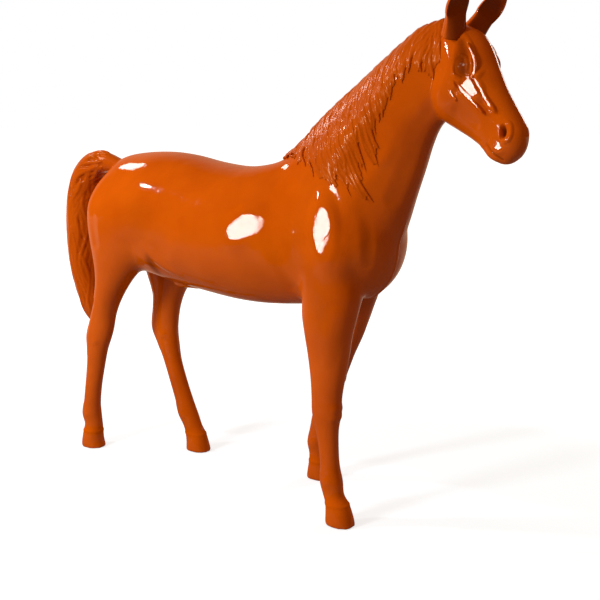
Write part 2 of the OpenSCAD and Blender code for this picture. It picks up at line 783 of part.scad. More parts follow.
module strip_space(low, high) {
    translate([hind_former_x + former_t, -strip_w / 2, low])
        cube([fore_former_x - hind_former_x - former_t, strip_w, high - low]);
}

module back_seam_strip() {
    color(laminate) placed() difference() {
        intersection() {
            lining();
            strip_space(plate_z, reach);
        }
        half_space(neck_collar_back, neck_joint_pitch);
    }
}

module belly_seam_strip() {
    color(laminate) placed() intersection() {
        lining();
        strip_space(belly_z - wall, plate_z);
    }
}

// Formers: plywood sheets cut to the inside of the shell

module former(x) {
    intersection() {
        skin(wall);
        translate([x, -reach / 2, leg_joint_z + plug_h + 10]) cube([former_t, reach, reach]);
    }
}

module beam_space(side) {
    translate([beam_back_x, -side / 2, beam_z + (beam_side - side) / 2])
        cube([beam_front_x - beam_back_x, side, side]);
}

module fore_former() {
    color(plywood) placed() difference() {
        former(fore_former_x);
        beam_space(beam_side);
        half_space(neck_collar_back, neck_joint_pitch);
    }
}

module hind_former() {
    color(plywood) placed() difference() {
        former(hind_former_x);
        beam_space(beam_side);
        tail_block_form();
    }
}

module tail_block_form() {
    translate([hind_former_x, -tail_block_side / 2, tail_root_z - tail_block_side / 2])
        cube([former_t, tail_block_side, tail_block_side]);
}

module tail_block() {
    color(plywood) placed() difference() {
        tail_block_form();
        tail_axis(hind_former_x - 1) cylinder(d = tail_stud_d + 2 * rod_gap, h = former_t + 2);
    }
}

module post_axis() {
    translate(post_foot) rotate([0, 90 - post_pitch, 0]) children();
}

module post_form(side, past = 0) {
    translate([-side / 2, -side / 2, -post_side - past])
        cube([side, side, post_len + post_side + 2 * past]);
}

module neck_former() {
    color(plywood) placed() difference() {
        intersection() {
            skin(wall);
            post_axis() translate([-reach / 2, -reach / 2, neck_former_at])
                cube([reach, reach, former_t]);
        }
        post_axis() post_form(post_side);
    }
}

// Steel frame

module spine_beam() {
    color(steel) placed() difference() {
        beam_space(beam_side);
        translate([-1, 0, 0]) beam_space(beam_side - 2 * beam_wall);
        translate([1, 0, 0]) beam_space(beam_side - 2 * beam_wall);
        beam_bolt_places() translate([0, 0, -1])
            cylinder(d = beam_bolt_d + 2 * rod_gap, h = beam_side + 2);
    }
}

module beam_bolt_places() {
    for (x = [fore_plate_x, hind_plate_x], along = [-1, 1])
        translate([x + along * beam_bolt_step, 0, beam_z]) children();
}

module frame_plate(x) {
    translate([x - plate_len / 2, -plate_w / 2, plate_z]) cube([plate_len, plate_w, plate_t]);
}

module frame_plate_holes() {
    rod_places() translate([0, 0, plate_z - 1])
        cylinder(d = rod_d + 2 * rod_gap, h = plate_t + 2);
    beam_bolt_places() translate([0, 0, -plate_t - 1])
        cylinder(d = beam_bolt_d + 2 * rod_gap, h = plate_t + 2);
}

module fore_plate() {
    color(steel) placed() difference() {
        frame_plate(fore_plate_x);
        frame_plate_holes();
    }
}

module hind_plate() {
    color(steel) placed() difference() {
        frame_plate(hind_plate_x);
        frame_plate_holes();
    }
}

module neck_post() {
    color(steel) placed() difference() {
        post_axis() post_form(post_side);
        post_axis() post_form(post_side - 2 * post_wall, 1);
        translate([post_foot[0] - reach / 2, -reach / 2, beam_z + beam_side - reach])
            cube(reach);
    }
}

// Rods: straight lengths with round bends, from the floor bush up through a frame plate

function rod_path(keys, side, middle_z) =
    let (foot = limb_centre(keys, side, 0), top = limb_centre(keys, side, leg_joint_z))
    [[foot[0], foot[1], bush_h], [foot[0], foot[1], coronet_z], limb_centre(keys, side, fetlock_z),
     limb_centre(keys, side, middle_z), top, [top[0], top[1], rod_top_z]];

module rod_length(a, b, d) {
    v = b - a;
    translate(a) rotate([0, acos(v[2] / norm(v)), atan2(v[1], v[0])])
        cylinder(d = d, h = norm(v), $fn = rod_sides);
}

module rod_form(keys, side, middle_z, grow = 0) {
    path = rod_path(keys, side, middle_z);
    for (i = [0 : len(path) - 2])
        rod_length(path[i], path[i + 1], rod_d + 2 * grow);
    for (i = [1 : len(path) - 2])
        translate(path[i]) sphere(d = rod_d + 2 * grow + rod_bend, $fn = rod_sides);
}

module rod(keys, side, middle_z) {
    color(steel) placed() rod_form(keys, side, middle_z);
}

module fore_rod_right() {
    rod(fore_right_keys, RIGHT, knee_z);
}

module fore_rod_left() {
    rod(fore_left_keys, LEFT, knee_z);
}

module hind_rod_right() {
    rod(hind_right_keys, RIGHT, hock_z);
}

module hind_rod_left() {
    rod(hind_left_keys, LEFT, hock_z);
}

module rod_places() {
    for (place = rod_tops)
        translate([place[0], place[1], 0]) children();
}

// A nut and a washer above and below each frame plate
module rod_nuts() {
    color(steel) placed() rod_places()
        for (z = [plate_z - washer_t - rod_nut_h, plate_z + plate_t + washer_t])
            translate([0, 0, z]) nut(rod_nut_af, rod_nut_h, rod_d);
}

module rod_washers() {
    color(steel) placed() rod_places()
        for (z = [plate_z - washer_t, plate_z + plate_t])
            translate([0, 0, z]) washer(rod_d);
}

module nut(across_flats, h, bore) {
    difference() {
        cylinder(d = across_flats / cos(30), h = h, $fn = 6);
        translate([0, 0, -1]) cylinder(d = bore, h = h + 2);
    }
}

module washer(bore) {
    difference() {
        cylinder(d = 2.2 * bore, h = washer_t);
        translate([0, 0, -1]) cylinder(d = bore + 2 * rod_gap, h = washer_t + 2);
    }
}

module beam_bolts() {
    color(steel) placed() beam_bolt_places() {
        translate([0, 0, -plate_t - beam_nut_h - 3])
            cylinder(d = beam_bolt_d, h = plate_t + beam_side + beam_nut_h + 3);
        translate([0, 0, beam_side])
            cylinder(d = beam_bolt_af / cos(30), h = beam_head_h, $fn = 6);
    }
}

module beam_nuts() {
    color(steel) placed() beam_bolt_places()
        translate([0, 0, -plate_t - beam_nut_h]) nut(beam_bolt_af, beam_nut_h, beam_bolt_d);
}

module tail_stud() {
    color(steel) placed() tail_axis(tail_root_x - tail_stud_grip)
        cylinder(d = tail_stud_d,
                 h = hind_former_x + former_t + tail_nut_h + 6 - tail_root_x + tail_stud_grip);
}

module tail_nut() {
    color(steel) placed() tail_axis(hind_former_x + former_t)
        nut(1.5 * tail_stud_d, tail_nut_h, tail_stud_d);
}

// Threaded floor bushes let into the soles
module hoof_bushes() {
    color(steel) placed()
        for (foot = hoof_places)
            translate(foot) difference() {
                cylinder(d = bush_d, h = bush_h);
                translate([0, 0, -1]) cylinder(d = bush_core_d, h = bush_h + 2);
            }
}

torso_shell_right();
torso_shell_left();
neck_shell_right();
neck_shell_left();
head_shell_right();
head_shell_left();
ear_right();
ear_left();
mane();
tail();
fore_leg_right();
fore_leg_left();
hind_leg_right();
hind_leg_left();
neck_collar();
head_collar();
back_seam_strip();
belly_seam_strip();
fore_former();
hind_former();
neck_former();
spine_beam();
fore_plate();
hind_plate();
tail_block();
neck_post();
fore_rod_right();
fore_rod_left();
hind_rod_right();
hind_rod_left();
rod_nuts();
rod_washers();
beam_bolts();
beam_nuts();
tail_stud();
tail_nut();
hoof_bushes();
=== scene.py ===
# Looks of a life-size horse cast in gloss orange resin.
# The skin is lofted through the same sections as the solids, melted into one smooth surface, carved
# with its muscles and face, and cut at the part's own joints into shells and legs.
import json
from math import cos, pi, radians, sin, tan

import bmesh
import bpy
import numpy as np
from mathutils import Matrix, Quaternion, Vector
from mathutils.bvhtree import BVHTree

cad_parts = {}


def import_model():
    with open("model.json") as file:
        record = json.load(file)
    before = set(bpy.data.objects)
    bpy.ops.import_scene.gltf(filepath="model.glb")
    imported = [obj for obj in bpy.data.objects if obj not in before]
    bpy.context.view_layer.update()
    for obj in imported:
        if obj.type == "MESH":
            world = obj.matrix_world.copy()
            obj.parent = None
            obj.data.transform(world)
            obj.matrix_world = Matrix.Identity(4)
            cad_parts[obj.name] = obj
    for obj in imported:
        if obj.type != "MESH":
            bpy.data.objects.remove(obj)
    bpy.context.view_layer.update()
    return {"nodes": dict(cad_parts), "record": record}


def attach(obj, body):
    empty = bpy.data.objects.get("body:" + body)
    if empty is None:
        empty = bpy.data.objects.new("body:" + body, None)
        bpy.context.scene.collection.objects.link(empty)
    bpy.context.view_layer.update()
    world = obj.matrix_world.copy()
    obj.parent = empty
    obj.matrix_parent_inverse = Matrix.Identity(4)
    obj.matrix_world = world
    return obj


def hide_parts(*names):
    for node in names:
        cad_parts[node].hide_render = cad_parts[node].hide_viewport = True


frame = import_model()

RIGHT, LEFT = SIDES = -1, 1

# Sizes are in millimetres, X towards the head from the middle of the barrel, as in the part's source
MM = 0.001
MID_X = 113
SKIN_VOXEL, MANE_VOXEL, TAIL_VOXEL = 6, 3, 4
# In metres: the smallest square of a length to divide by, and the reach of a cut
TINY, CUT_REACH = 1e-12, 1e-6
# Points round a section, and rows between two keys of a form, a bent form and a stroke
TRUNK_SIDES, NECK_SIDES, SHEATH_SIDES, LIMB_SIDES, HEAD_SIDES = 96, 72, 32, 56, 72
MUSCLE_SIDES, EAR_SIDES, TAIL_SIDES, STRAND_SIDES = 40, 64, 40, 8
FORM_STEPS, BENT_STEPS, STROKE_STEPS = 8, 10, 4
# Polish: its steps in and out, and its rounds
POLISH_IN, POLISH_OUT = 0.5, -0.52
SKIN_POLISH, HEAD_POLISH, CARVED_POLISH, FINE_POLISH = 6, 4, 2, 3
# Melting of the seams between forms: rounds, most and least share, and the trunk's limits
MELT_ROUNDS, MELT_MOST, MELT_LEAST, MELT_Z, MELT_X = 60, 0.9, 0.06, (800, 960), (820, 960)

WITHERS_Z, BACK_Z, CROUP_Z, BELLY_Z = 1466, 1418, 1468, 830
BARREL_W, CHEST_W, HIP_W = 578, 480, 524
LEG_JOINT_Z, KNEE_Z, HOCK_Z, FETLOCK_Z, CORONET_Z = 770, 450, 570, 170, 85
HOOF_LEN, HOOF_W = 128, 106
BROW_W, MUZZLE_W = 206, 118
EAR_LEN, EAR_SPREAD, EAR_SPLAY = 165, 66, 19
EAR_LEAN = {RIGHT: 25, LEFT: 33}
EAR_TURN = {RIGHT: -8, LEFT: -24}
EAR_ROOT = (1056, 0, 1966)
HEAD_ORIGIN, HEAD_PITCH, HEAD_TURN = (1036, 0, 1814), -50, 12
NECK_JOINT, NECK_JOINT_PITCH = (550, 0, 1360), 56
HEAD_JOINT, HEAD_JOINT_PITCH = (938, 0, 1790), 2

# Trunk sections: x, top, bottom, half width, squareness above and below the widest line
TRUNK = (
    (-775, 1372, 1150, 70, 2, 2),
    (-745, 1408, 1070, 135, 2, 2),
    (-670, CROUP_Z - 24, 980, HIP_W / 2 - 50, 2, 2),
    (-560, CROUP_Z - 6, 915, HIP_W / 2 - 18, 1.9, 2.1),
    (-430, CROUP_Z, 882, HIP_W / 2, 1.9, 2.1),
    (-290, CROUP_Z - 10, BELLY_Z + 32, HIP_W / 2 + 8, 1.9, 2.1),
    (-140, BACK_Z + 14, BELLY_Z + 16, BARREL_W / 2 - 6, 2, 2.1),
    (20, BACK_Z, BELLY_Z + 2, BARREL_W / 2, 2, 2.1),
    (150, BACK_Z + 16, BELLY_Z, BARREL_W / 2 - 8, 1.8, 2.1),
    (265, WITHERS_Z, BELLY_Z + 8, BARREL_W / 2 - 28, 1.55, 2.1),
    (400, WITHERS_Z + 14, BELLY_Z + 24, CHEST_W / 2 + 4, 1.55, 2.1),
    (540, WITHERS_Z - 26, BELLY_Z + 44, CHEST_W / 2 - 4, 1.8, 2.1),
    (665, 1380, BELLY_Z + 84, CHEST_W / 2 - 42, 2, 2.1),
    (736, 1300, BELLY_Z + 150, CHEST_W / 2 - 92, 2, 2),
    (772, 1220, BELLY_Z + 240, 72, 2, 2),
)
WIDEST_SHARE = 0.48

# Neck sections: x, z, pitch, half width, half depth
NECK = (
    (432, 1212, 54, 212, 342),
    (547, 1350, 55, 188, 299),
    (636, 1478, 51, 152, 262),
    (731, 1596, 42, 126, 223),
    (812, 1695, 29, 107, 198),
    (892, 1778, 16, 95, 186),
    (990, 1822, 6, 86, 168),
)
# Squareness at the crest and at the throat
NECK_SQUARENESS = 1.6, 2.1

# Neck muscle on each side: place along the neck, angle above its side, radius, rise out of the skin
NECK_MUSCLE = (
    (0.6, -29, 100, 0),
    (1, -28, 110, 5),
    (2, -24, 100, 6),
    (3.2, -18, 85, 5),
    (4.6, -12, 70, 4),
    (5.1, -10, 50, 0),
)

# Head sections on its own axis: distance, crown, jaw, half width, squareness above and below
HEAD = (
    (-118, 112, -40, 66, 2, 2),
    (-40, 150, -120, BROW_W / 2 - 14, 1.9, 2),
    (35, 147, -160, BROW_W / 2, 1.8, 2.2),
    (105, 131, -166, BROW_W / 2 - 8, 1.75, 2.2),
    (175, 115, -138, BROW_W / 2 - 30, 1.9, 2.2),
    (245, 106, -108, BROW_W / 2 - 44, 2.1, 2.2),
    (308, 100, -88, MUZZLE_W / 2 - 2, 2.2, 2.2),
    (356, 91, -80, MUZZLE_W / 2, 2.2, 2.2),
    (395, 60, -60, MUZZLE_W / 2 - 14, 2, 2),
    (413, 26, -34, 26, 2, 2),
)

# Limb sections: height, back edge, front edge, distance from the middle, half width
SHOULDER = (
    (1430, 240, 400, 60, 45),
    (1340, 265, 545, 85, 84),
    (1230, 328, 645, 110, CHEST_W / 2 - 126),
    (1120, 388, 690, 124, CHEST_W / 2 - 117),
    (1020, 412, 676, 136, CHEST_W / 2 - 122),
)
HAUNCH = (
    (1400, -700, -470, 70, 60),
    (1320, -765, -398, 105, 104),
    (1220, -806, -358, 126, HIP_W / 2 - 129),
)
FORE_HEIGHTS = (930, 850, LEG_JOINT_Z, 690, 600, KNEE_Z + 70, KNEE_Z, KNEE_Z - 60, 320,
                FETLOCK_Z + 70, FETLOCK_Z, FETLOCK_Z - 50)
HIND_HEIGHTS = (1110, 1010, 930, 850, LEG_JOINT_Z, 695, HOCK_Z + 50, HOCK_Z, HOCK_Z - 60, 430, 330,
                FETLOCK_Z + 65, FETLOCK_Z, FETLOCK_Z - 50)


def leg(top, heights, rows, coronet, wall, sole):
    """Sections of a leg: its top, rows at the heights, and the coronet, wall and sole of its hoof."""
    (wall_back, wall_y), (x, y) = wall, sole
    return (*top, *((z, *row) for z, row in zip(heights, rows)),
            (CORONET_Z, *coronet, HOOF_W / 2 - 9),
            (40, wall_back, x + HOOF_LEN / 2 - 12, wall_y, HOOF_W / 2 - 3),
            (0, x - HOOF_LEN / 2, x + HOOF_LEN / 2, y, HOOF_W / 2))


FORE_RIGHT = leg(SHOULDER, FORE_HEIGHTS, (
    (428, 690, 152, 102), (436, 676, 166, 88), (456, 662, 178, 78), (474, 654, 184, 68),
    (491, 642, 192, 58), (500, 632, 198, 51), (506, 632, 203, 51), (520, 624, 206, 42),
    (538, 626, 210, 37), (550, 634, 214, 37), (554, 652, 218, 43), (572, 662, 224, 39),
), (591, 692, 232), (596, 236), (660, 238))
FORE_LEFT = leg(SHOULDER, FORE_HEIGHTS, (
    (392, 612, 148, 98), (384, 567, 156, 86), (372, 537, 162, 76), (352, 508, 164, 66),
    (328, 468, 162, 56), (310, 438, 160, 49), (292, 412, 158, 50), (282, 382, 156, 42),
    (268, 354, 154, 37), (254, 338, 152, 37), (242, 338, 150, 43), (252, 340, 150, 39),
), (252, 348, 150), (246, 150), (304, 150))
HIND_RIGHT = leg(HAUNCH, HIND_HEIGHTS, (
    (-803, -368, 136, 128), (-784, -440, 140, 113), (-770, -516, 142, 96), (-768, -594, 144, 78),
    (-786, -650, 145, 65), (-816, -684, 145, 56), (-844, -700, 146, 51), (-858, -718, 146, 48),
    (-856, -746, 146, 45), (-866, -768, 145, 39), (-886, -796, 142, 37), (-905, -815, 139, 38),
    (-918, -818, 136, 43), (-908, -814, 133, 39),
), (-918, -816, 131), (-928, 130), (-871, 130))
HIND_LEFT = leg(HAUNCH, HIND_HEIGHTS, (
    (-800, -338, 136, 128), (-775, -345, 140, 115), (-738, -390, 143, 100), (-706, -448, 145, 84),
    (-680, -508, 147, 71), (-686, -536, 147, 60), (-698, -546, 146, 52), (-692, -546, 144, 49),
    (-660, -538, 142, 45), (-622, -522, 139, 39), (-582, -484, 135, 37), (-544, -442, 131, 38),
    (-521, -412, 128, 43), (-488, -386, 125, 39),
), (-470, -362, 122), (-460, 120), (-398, 120))
LIMB_SQUARENESS = 2.2
LEGS = {
    "fore_leg_right": (FORE_RIGHT, RIGHT),
    "fore_leg_left": (FORE_LEFT, LEFT),
    "hind_leg_right": (HIND_RIGHT, RIGHT),
    "hind_leg_left": (HIND_LEFT, LEFT),
}

# Breast, as a limb on the middle line, and sheath, as a short neck that points back
BREAST = (
    (1240, 560, 730, 0, 70),
    (1150, 560, 766, 0, 96),
    (1050, 550, 744, 0, 96),
    (960, 550, 712, 0, 84),
    (905, 560, 670, 0, 56),
)
SHEATH = (
    (-190, 900, 180, 20, 22),
    (-250, 888, 178, 44, 44),
    (-330, 882, 184, 44, 42),
    (-390, 874, 186, 38, 36),
    (-425, 872, 186, 18, 18),
)

# Ear sections: height, shift forward, half width, depth behind and depth in front
EAR = (
    (EAR_LEN, 8, 2, 2, 2),
    (0.9 * EAR_LEN, 6, 20, 17, 3),
    (0.72 * EAR_LEN, 4, 38, 30, -10),
    (0.52 * EAR_LEN, 2, 47, 38, -18),
    (0.34 * EAR_LEN, 0, 46, 40, -6),
    (0.18 * EAR_LEN, 0, 42, 39, 14),
    (-36, 0, 48, 46, 36),
)
EAR_SQUARENESS = 2.4, 2
# Painted shade in the ear's hollow, and how far forward the skin faces where the shade begins and is full
EAR_PAINTED_SHADE, EAR_HOLLOW = 0.6, (0, 0.6)

# Tail sections from the root out: x, z, pitch, half width, half depth
TAIL = (
    (-660, 1376, 180, 40, 36),
    (-740, 1386, 176, 44, 40),
    (-825, 1402, 181, 50, 52),
    (-908, 1388, 202, 58, 62),
    (-976, 1330, 236, 64, 67),
    (-1014, 1238, 260, 68, 70),
    (-1028, 1130, 269, 72, 71),
    (-1028, 1010, 272, 74, 71),
    (-1018, 890, 277, 72, 67),
    (-998, 780, 282, 66, 62),
    (-974, 690, 288, 54, 52),
    (-950, 625, 292, 36, 36),
    (-934, 580, 294, 8, 8),
)
# Locks of the tail: their number and rows, and the core and their middles as shares of the sections
TAIL_LOCKS, TAIL_ROWS, TAIL_CORE, TAIL_DEPTH, TAIL_SEED = 110, 60, 0.86, 0.93, 5
TAIL_FLATNESS, TAIL_WAVE, TAIL_TAPER = 0.9, 2.2, ((0, 0.08, 0.7, 1), (0.3, 1, 0.9, 0.2))
# Chance in a lock: shift round the tail, start, length, end, twist, wave, phase, half width
TAIL_CHANCES = (
    (-0.4, 0.4), (1.7, 7.5), (3.5, 6.5), (11, 11.9), (0.02, 0.12), (0.15, 0.4), (0, 6.3), (8, 13))

# Free edge of the mane: place along the neck and angle from the left round the crest
MANE_EDGE = (
    (0.5, 98), (0.75, 104), (1, 146), (1.1, 174), (1.3, 192), (1.6, 199), (1.9, 197), (2.35, 190),
    (2.85, 178), (3.7, 167), (4.2, 160), (4.65, 153), (5, 155), (5.3, 170), (5.6, 176), (5.95, 160),
)
MANE_FROM, MANE_TO = 0.55, 5.92
# How far up the neck a lock's root lies from its tip, for each degree that it falls
MANE_LEAN = 0.0105
# Locks gather in clumps: their spacing, the pull on the tips, and the reach and number of clumps
MANE_CLUMP, CLUMP_PULL, CLUMP_REACH, CLUMP_COUNT = 0.3, 0.45, (0.93, 1.07), 40
# Roll along the crest: angle, half width, flatness, lift and rows
ROLL_ANGLE, ROLL_HALF, ROLL_FLATNESS, ROLL_LIFT, ROLL_ROWS = 78, 17, 0.5, 2, 90
# A lock: rows, angle that it falls from, speed of its wave, share of its lift lost at the tip, taper
LOCK_ROWS, LOCK_TOP, LOCK_WAVE, LOCK_SINK = 20, 88, 11, 0.6
LOCK_TAPER = ((0, 0.2, 0.75, 0.92, 1), (0.6, 1, 1, 0.7, 0.3))
# Chance in a lock: shift along the mane, reach, lean and distance from the poll; wave and phase
LOCK_PLACE, LOCK_SWING = ((0.1, 0.9), (0.92, 1.06), (0.85, 1.15), (-0.3, 0)), ((0.4, 1), (0, 6.3))
MANE_SEED = 11
# Hair: how much darker it is all over, and how dull its coat
HAIR_DARKENING, HAIR_DULL = 0.15, 0.88
# Layers: strands, length, angles of the roots, half widths, flatness, lift and wave
MANE_LAYERS = (
    (80, 1.0, (74, 84), (14, 19), 0.4, 1, 0.02),
    (140, 1.06, (90, 102), (4.5, 8), 0.9, 4, 0.08),
    (80, 0.85, (95, 125), (4.5, 7.5), 1, 7, 0.12),
    (80, 0.6, (92, 110), (4.5, 7.5), 1, 8, 0.12),
)

# Where the search for a place on the skin begins, beside the trunk and beside the head
BODY_OUT, FACE_OUT = 1000, 400
# Ridges and hollows: each point has a place, a radius and a height above the skin.
# Trunk: x, z, radius, height, on both sides
BODY_STROKES = (
    ((590, 1240, 150, 12), (620, 1120, 150, 14)),
    ((470, 1390, 50, -3), (590, 1300, 50, -4), (680, 1190, 50, -3)),
    ((300, 1180, 50, -2), (345, 1090, 50, -4), (385, 950, 44, -6)),
    ((415, 900, 44, 7),),
    ((-230, 1210, 110, -5), (-260, 1080, 90, -6)),
    ((-210, 945, 36, 4), (-290, 985, 40, 9), (-370, 1060, 40, 4)),
    ((-400, 1010, 80, 6),),
    ((-650, 1330, 40, -2), (-690, 1200, 40, -4), (-680, 1050, 40, -4)),
    ((-377, 1320, 300, 10),),
    ((752, 1506, 80, 6),),
    ((708, 1235, 36, -2), (723, 1165, 40, -6), (722, 1075, 36, -3)),
)
# Ahead, up and left of the trunk
BODY_AXES = np.array(((1, 0, 0), (0, 0, 1), (0, 1, 0)))
# Edge of a flattened oval, and how far the skin faces the plane where it begins to be drawn
OVAL_EDGE, OVAL_TURN = (0.4, 1), (0.2, 0.5)
# Flat planes of the trunk: x, z, half lengths along and across, slope of the long side,
# share of the flattening, degrees that the plane faces towards the head and up, and its lift
BODY_PLANES = (
    (190, 1195, 150, 95, 38, 0.85, 9, 13, 0),
    (560, 1215, 180, 80, -80, 0.9, 4, 12.5, 0),
    (845, 1730, 240, 120, 48, 0.85, 10, -2, 4),
    (715, 1560, 230, 130, 53, 0.8, 12, -2, 6),
)
# Duller gelcoat behind the shoulder and at the edges of two highlights; the strength comes last
BODY_DULL = (
    ((347, 1330, 90, 4), (347, 1110, 90, 4)),
    ((262, 1130, 40, 3), (302, 1178, 40, 3)),
    ((100, 1210, 40, 3), (158, 1258, 40, 3)),
    ((640, 1190, 46, 4), (608, 1120, 40, 4)),
)
# Painted shade in the flank fold, in the hollow in front of the shoulder, and where the limbs turn from the
# light
BODY_PAINTED_SHADE = (
    ((-372, 935, 44, 0.5), (-370, 980, 40, 0.6), (-360, 1015, 30, 0.3)),
    ((708, 1235, 36, 0.1), (723, 1165, 40, 0.3), (722, 1075, 36, 0.15)),
    ((491, 1037, 90, 0.14), (560, 900, 95, 0.16), (595, 800, 90, 0.16), (591, 700, 70, 0.08)),
    ((-404, 1199, 130, 0.17), (-420, 1110, 110, 0.12)),
)
# Bead along the middle seam of the breast: half width, height, and where it begins and ends
SEAM_HALF, SEAM_HEIGHT, SEAM_X, SEAM_Z = 7, 4, (600, 650), (1180, 1240)
# Neck: place along it, angle above its side, radius and height, on both sides
NECK_STROKES = (
    ((5.3, 40, 70, 8), (4.2, 38, 95, 12), (3, 34, 115, 14), (1.9, 26, 130, 12)),
    ((5.1, -38, 40, -1), (4.2, -46, 44, -2), (3, -52, 48, -4), (1.9, -56, 52, -5)),
    ((5, 90, 70, 2), (5.3, 90, 85, 4), (5.6, 90, 85, 4)),
)
# Head: distance along it, height above its axis, radius and height, on both sides
FACE_STROKES = (
    ((40, -70, 80, 5), (95, -100, 70, 7)),
    ((150, -52, 34, -4), (230, -34, 28, -4)),
    ((46, 86, 46, 13),),
    ((-34, 102, 30, -5), (4, 86, 42, -10), (40, 64, 48, -14), (66, 44, 34, -7)),
    ((300, -74, 26, 4), (340, -66, 26, 7), (372, -56, 22, 5)),
)
# Flat plane of the lip: distance along the head, height above its axis, and the rest as on the trunk
FACE_PLANES = ((345, -10, 44, 36, 0, 0.8, -1, 11, 0),)
# Lines and patches of the face that lie in one plane, cut after the details: its anchor and lift,
# degrees that it faces to the muzzle and the crown, share of the flattening, and its ovals
FACE_FACETS = (
    ((116, 38), -1, 3, 9.7, 0.95, (
        (100, 36, 80, 26, 90), (130, 42, 62, 46, 0))),
    ((116, 38), -2, 2.6, 10, 0.9, (
        (95, 8, 36, 10, 0), (122, 10, 44, 11, 6), (150, 13, 44, 11, 6), (178, 16, 44, 10, 6),
        (204, 19, 34, 8, 6))),
    ((140, 61), 1, 2.4, 9.6, 0.9, (
        (112, 65, 44, 11, -2), (140, 62, 46, 12, -4), (170, 59, 46, 12, -5), (200, 56, 46, 12, -3),
        (224, 56, 36, 13, 0))),
    ((98, -29), 0, 3.1, 10.6, 0.9, (
        (84, -28, 18, 9, 0), (98, -29, 18, 9, 0), (112, -29, 18, 9, 0))),
    ((41, 110), -3, 4, 8.8, 0.85, (
        (0, 116, 24, 9, -3), (14, 115, 24, 9, -6), (27, 113, 24, 9, -9), (41, 110, 24, 9, -14),
        (54, 106, 24, 9, -20), (66, 99, 22, 9, -33), (76, 90, 20, 9, -45), (84, 80, 20, 9, -58),
        (90, 68, 20, 9, -65))),
)
# Orbital rim, eyeball, lids, cheek mark, groove of the nose, nostril and its wing, and mouth
FACE_DETAILS = (
    ((-60, 116, 16, 2), (-20, 117, 16, 5), (14, 115, 16, 7), (44, 109, 16, 7), (70, 97, 16, 7),
     (88, 72, 14, 5)),
    ((36, 58, 34, 9),),
    ((0, 52, 9, 1), (22, 32, 9, 3), (46, 22, 9, 4), (66, 30, 9, 2)),
    ((-4, 72, 9, 1), (22, 86, 10, 4), (48, 82, 10, 5), (66, 62, 9, 2)),
    ((78, -28, 10, 2), (98, -29, 10, 4), (118, -29, 10, 2)),
    ((150, 37, 11, -2), (185, 38, 12, -4), (225, 40, 11, -2)),
    ((306, 50, 12, -6), (317, 44, 17, -20), (330, 34, 16, -22), (336, 24, 11, -8)),
    ((296, 68, 12, 1), (318, 72, 13, 4), (345, 60, 13, 5), (358, 40, 13, 5), (352, 16, 12, 2)),
    ((312, -46, 8, -2), (350, -40, 8, -6), (395, -30, 8, -6)),
)
# Places with finer faces: distance along the head, height above its axis and reach
FACE_SPOTS = ((30, 66, 85), (120, 40, 75), (200, 40, 75), (328, 20, 65))
# Painted shade in the hollows of the face, at the eye, the nostril and the mouth, and along the nose; the
# strength comes last
FACE_PAINTED_SHADE = (
    ((-40, 98, 24, 0.45), (0, 84, 38, 0.7), (34, 64, 46, 0.8), (60, 48, 34, 0.7)),
    ((308, 50, 12, 0.5), (319, 43, 18, 1), (332, 32, 17, 1)),
    ((150, 110, 40, 0.1), (241, 97, 45, 0.17), (320, 85, 40, 0.12)),
    ((312, -46, 6, 0.2), (350, -40, 7, 0.5), (395, -30, 7, 0.5)),
)
# Duller gelcoat above the nostril and about the cheek mark
FACE_DULL = (
    ((258, 44, 26, 3), (290, 56, 26, 3)), ((280, 28, 14, 3),), ((54, 5, 20, 3),), ((112, -10, 12, 3),),
)


def on_both_flanks(*stroke):
    """A leg's stroke and its copy on the other side of the leg."""
    return stroke, tuple((z, (180 - angle) % 360, radius, height) for z, angle, radius, height in stroke)


# Legs: height, angle from the outside round the front, radius and height
FETLOCK_STROKES = (*on_both_flanks((172, 0, 28, 3)), ((162, 270, 24, 5),))
FORE_STROKES = (
    ((860, 40, 60, 5), (780, 30, 55, 5), (680, 20, 40, 3)),
    ((475, 60, 26, 3), (475, 120, 26, 3)),
    ((440, 50, 22, 3), (440, 130, 22, 3)),
    ((455, 270, 26, 5),),
    *on_both_flanks((400, 315, 14, -3), (320, 315, 14, -5), (220, 312, 14, -3)),
    *FETLOCK_STROKES,
)
HIND_STROKES = (
    *on_both_flanks((760, 318, 24, -4), (690, 312, 22, -8), (625, 312, 18, -5)),
    ((600, 270, 28, 5),),
    *on_both_flanks((560, 15, 28, 4)),
    *on_both_flanks((470, 315, 14, -3), (350, 315, 14, -5), (230, 312, 14, -3)),
    *FETLOCK_STROKES,
)
# Rim and duller gelcoat round the top of a hoof
HOOF_ANGLES = range(0, 361, 20)
HOOF_RIM = tuple((CORONET_Z, angle, 9, 2.5) for angle in HOOF_ANGLES)
HOOF_DULL = tuple((CORONET_Z + 6, angle, 28, 3) for angle in HOOF_ANGLES)

# Gelcoat: colours, the dark colour of painted shade and of the hair's darker tone, tint of the resin's own
# glint, strength of the coat on clean skin and under painted shade
GELCOAT_DARK, GELCOAT_LIGHT = (0.57, 0.089, 0.0012), (0.65, 0.11, 0.0016)
GELCOAT_SHADED, GLINT_TINT = (0.1, 0.012, 0.001), (1, 0.6, 0.25)
COAT_CLEAN, COAT_SHADED, COAT_ROUGH = 0.45, 0.1, 0.06
# Roughness and glint of the skin and of the hair
SKIN_FINISH, HAIR_FINISH = (0.5, 0), (0.22, 0.11)
# Mottle: scale and detail of its noise, and where its lighter colour begins and is full
MOTTLE_NOISE, MOTTLE_STOPS = (5, 3), (0.3, 0.7)
# Waves in the coat: scale and detail of their noise, strength and height
WAVE_NOISE, WAVE_STRENGTH, WAVE_HEIGHT = (9, 4), 0.35, 0.01
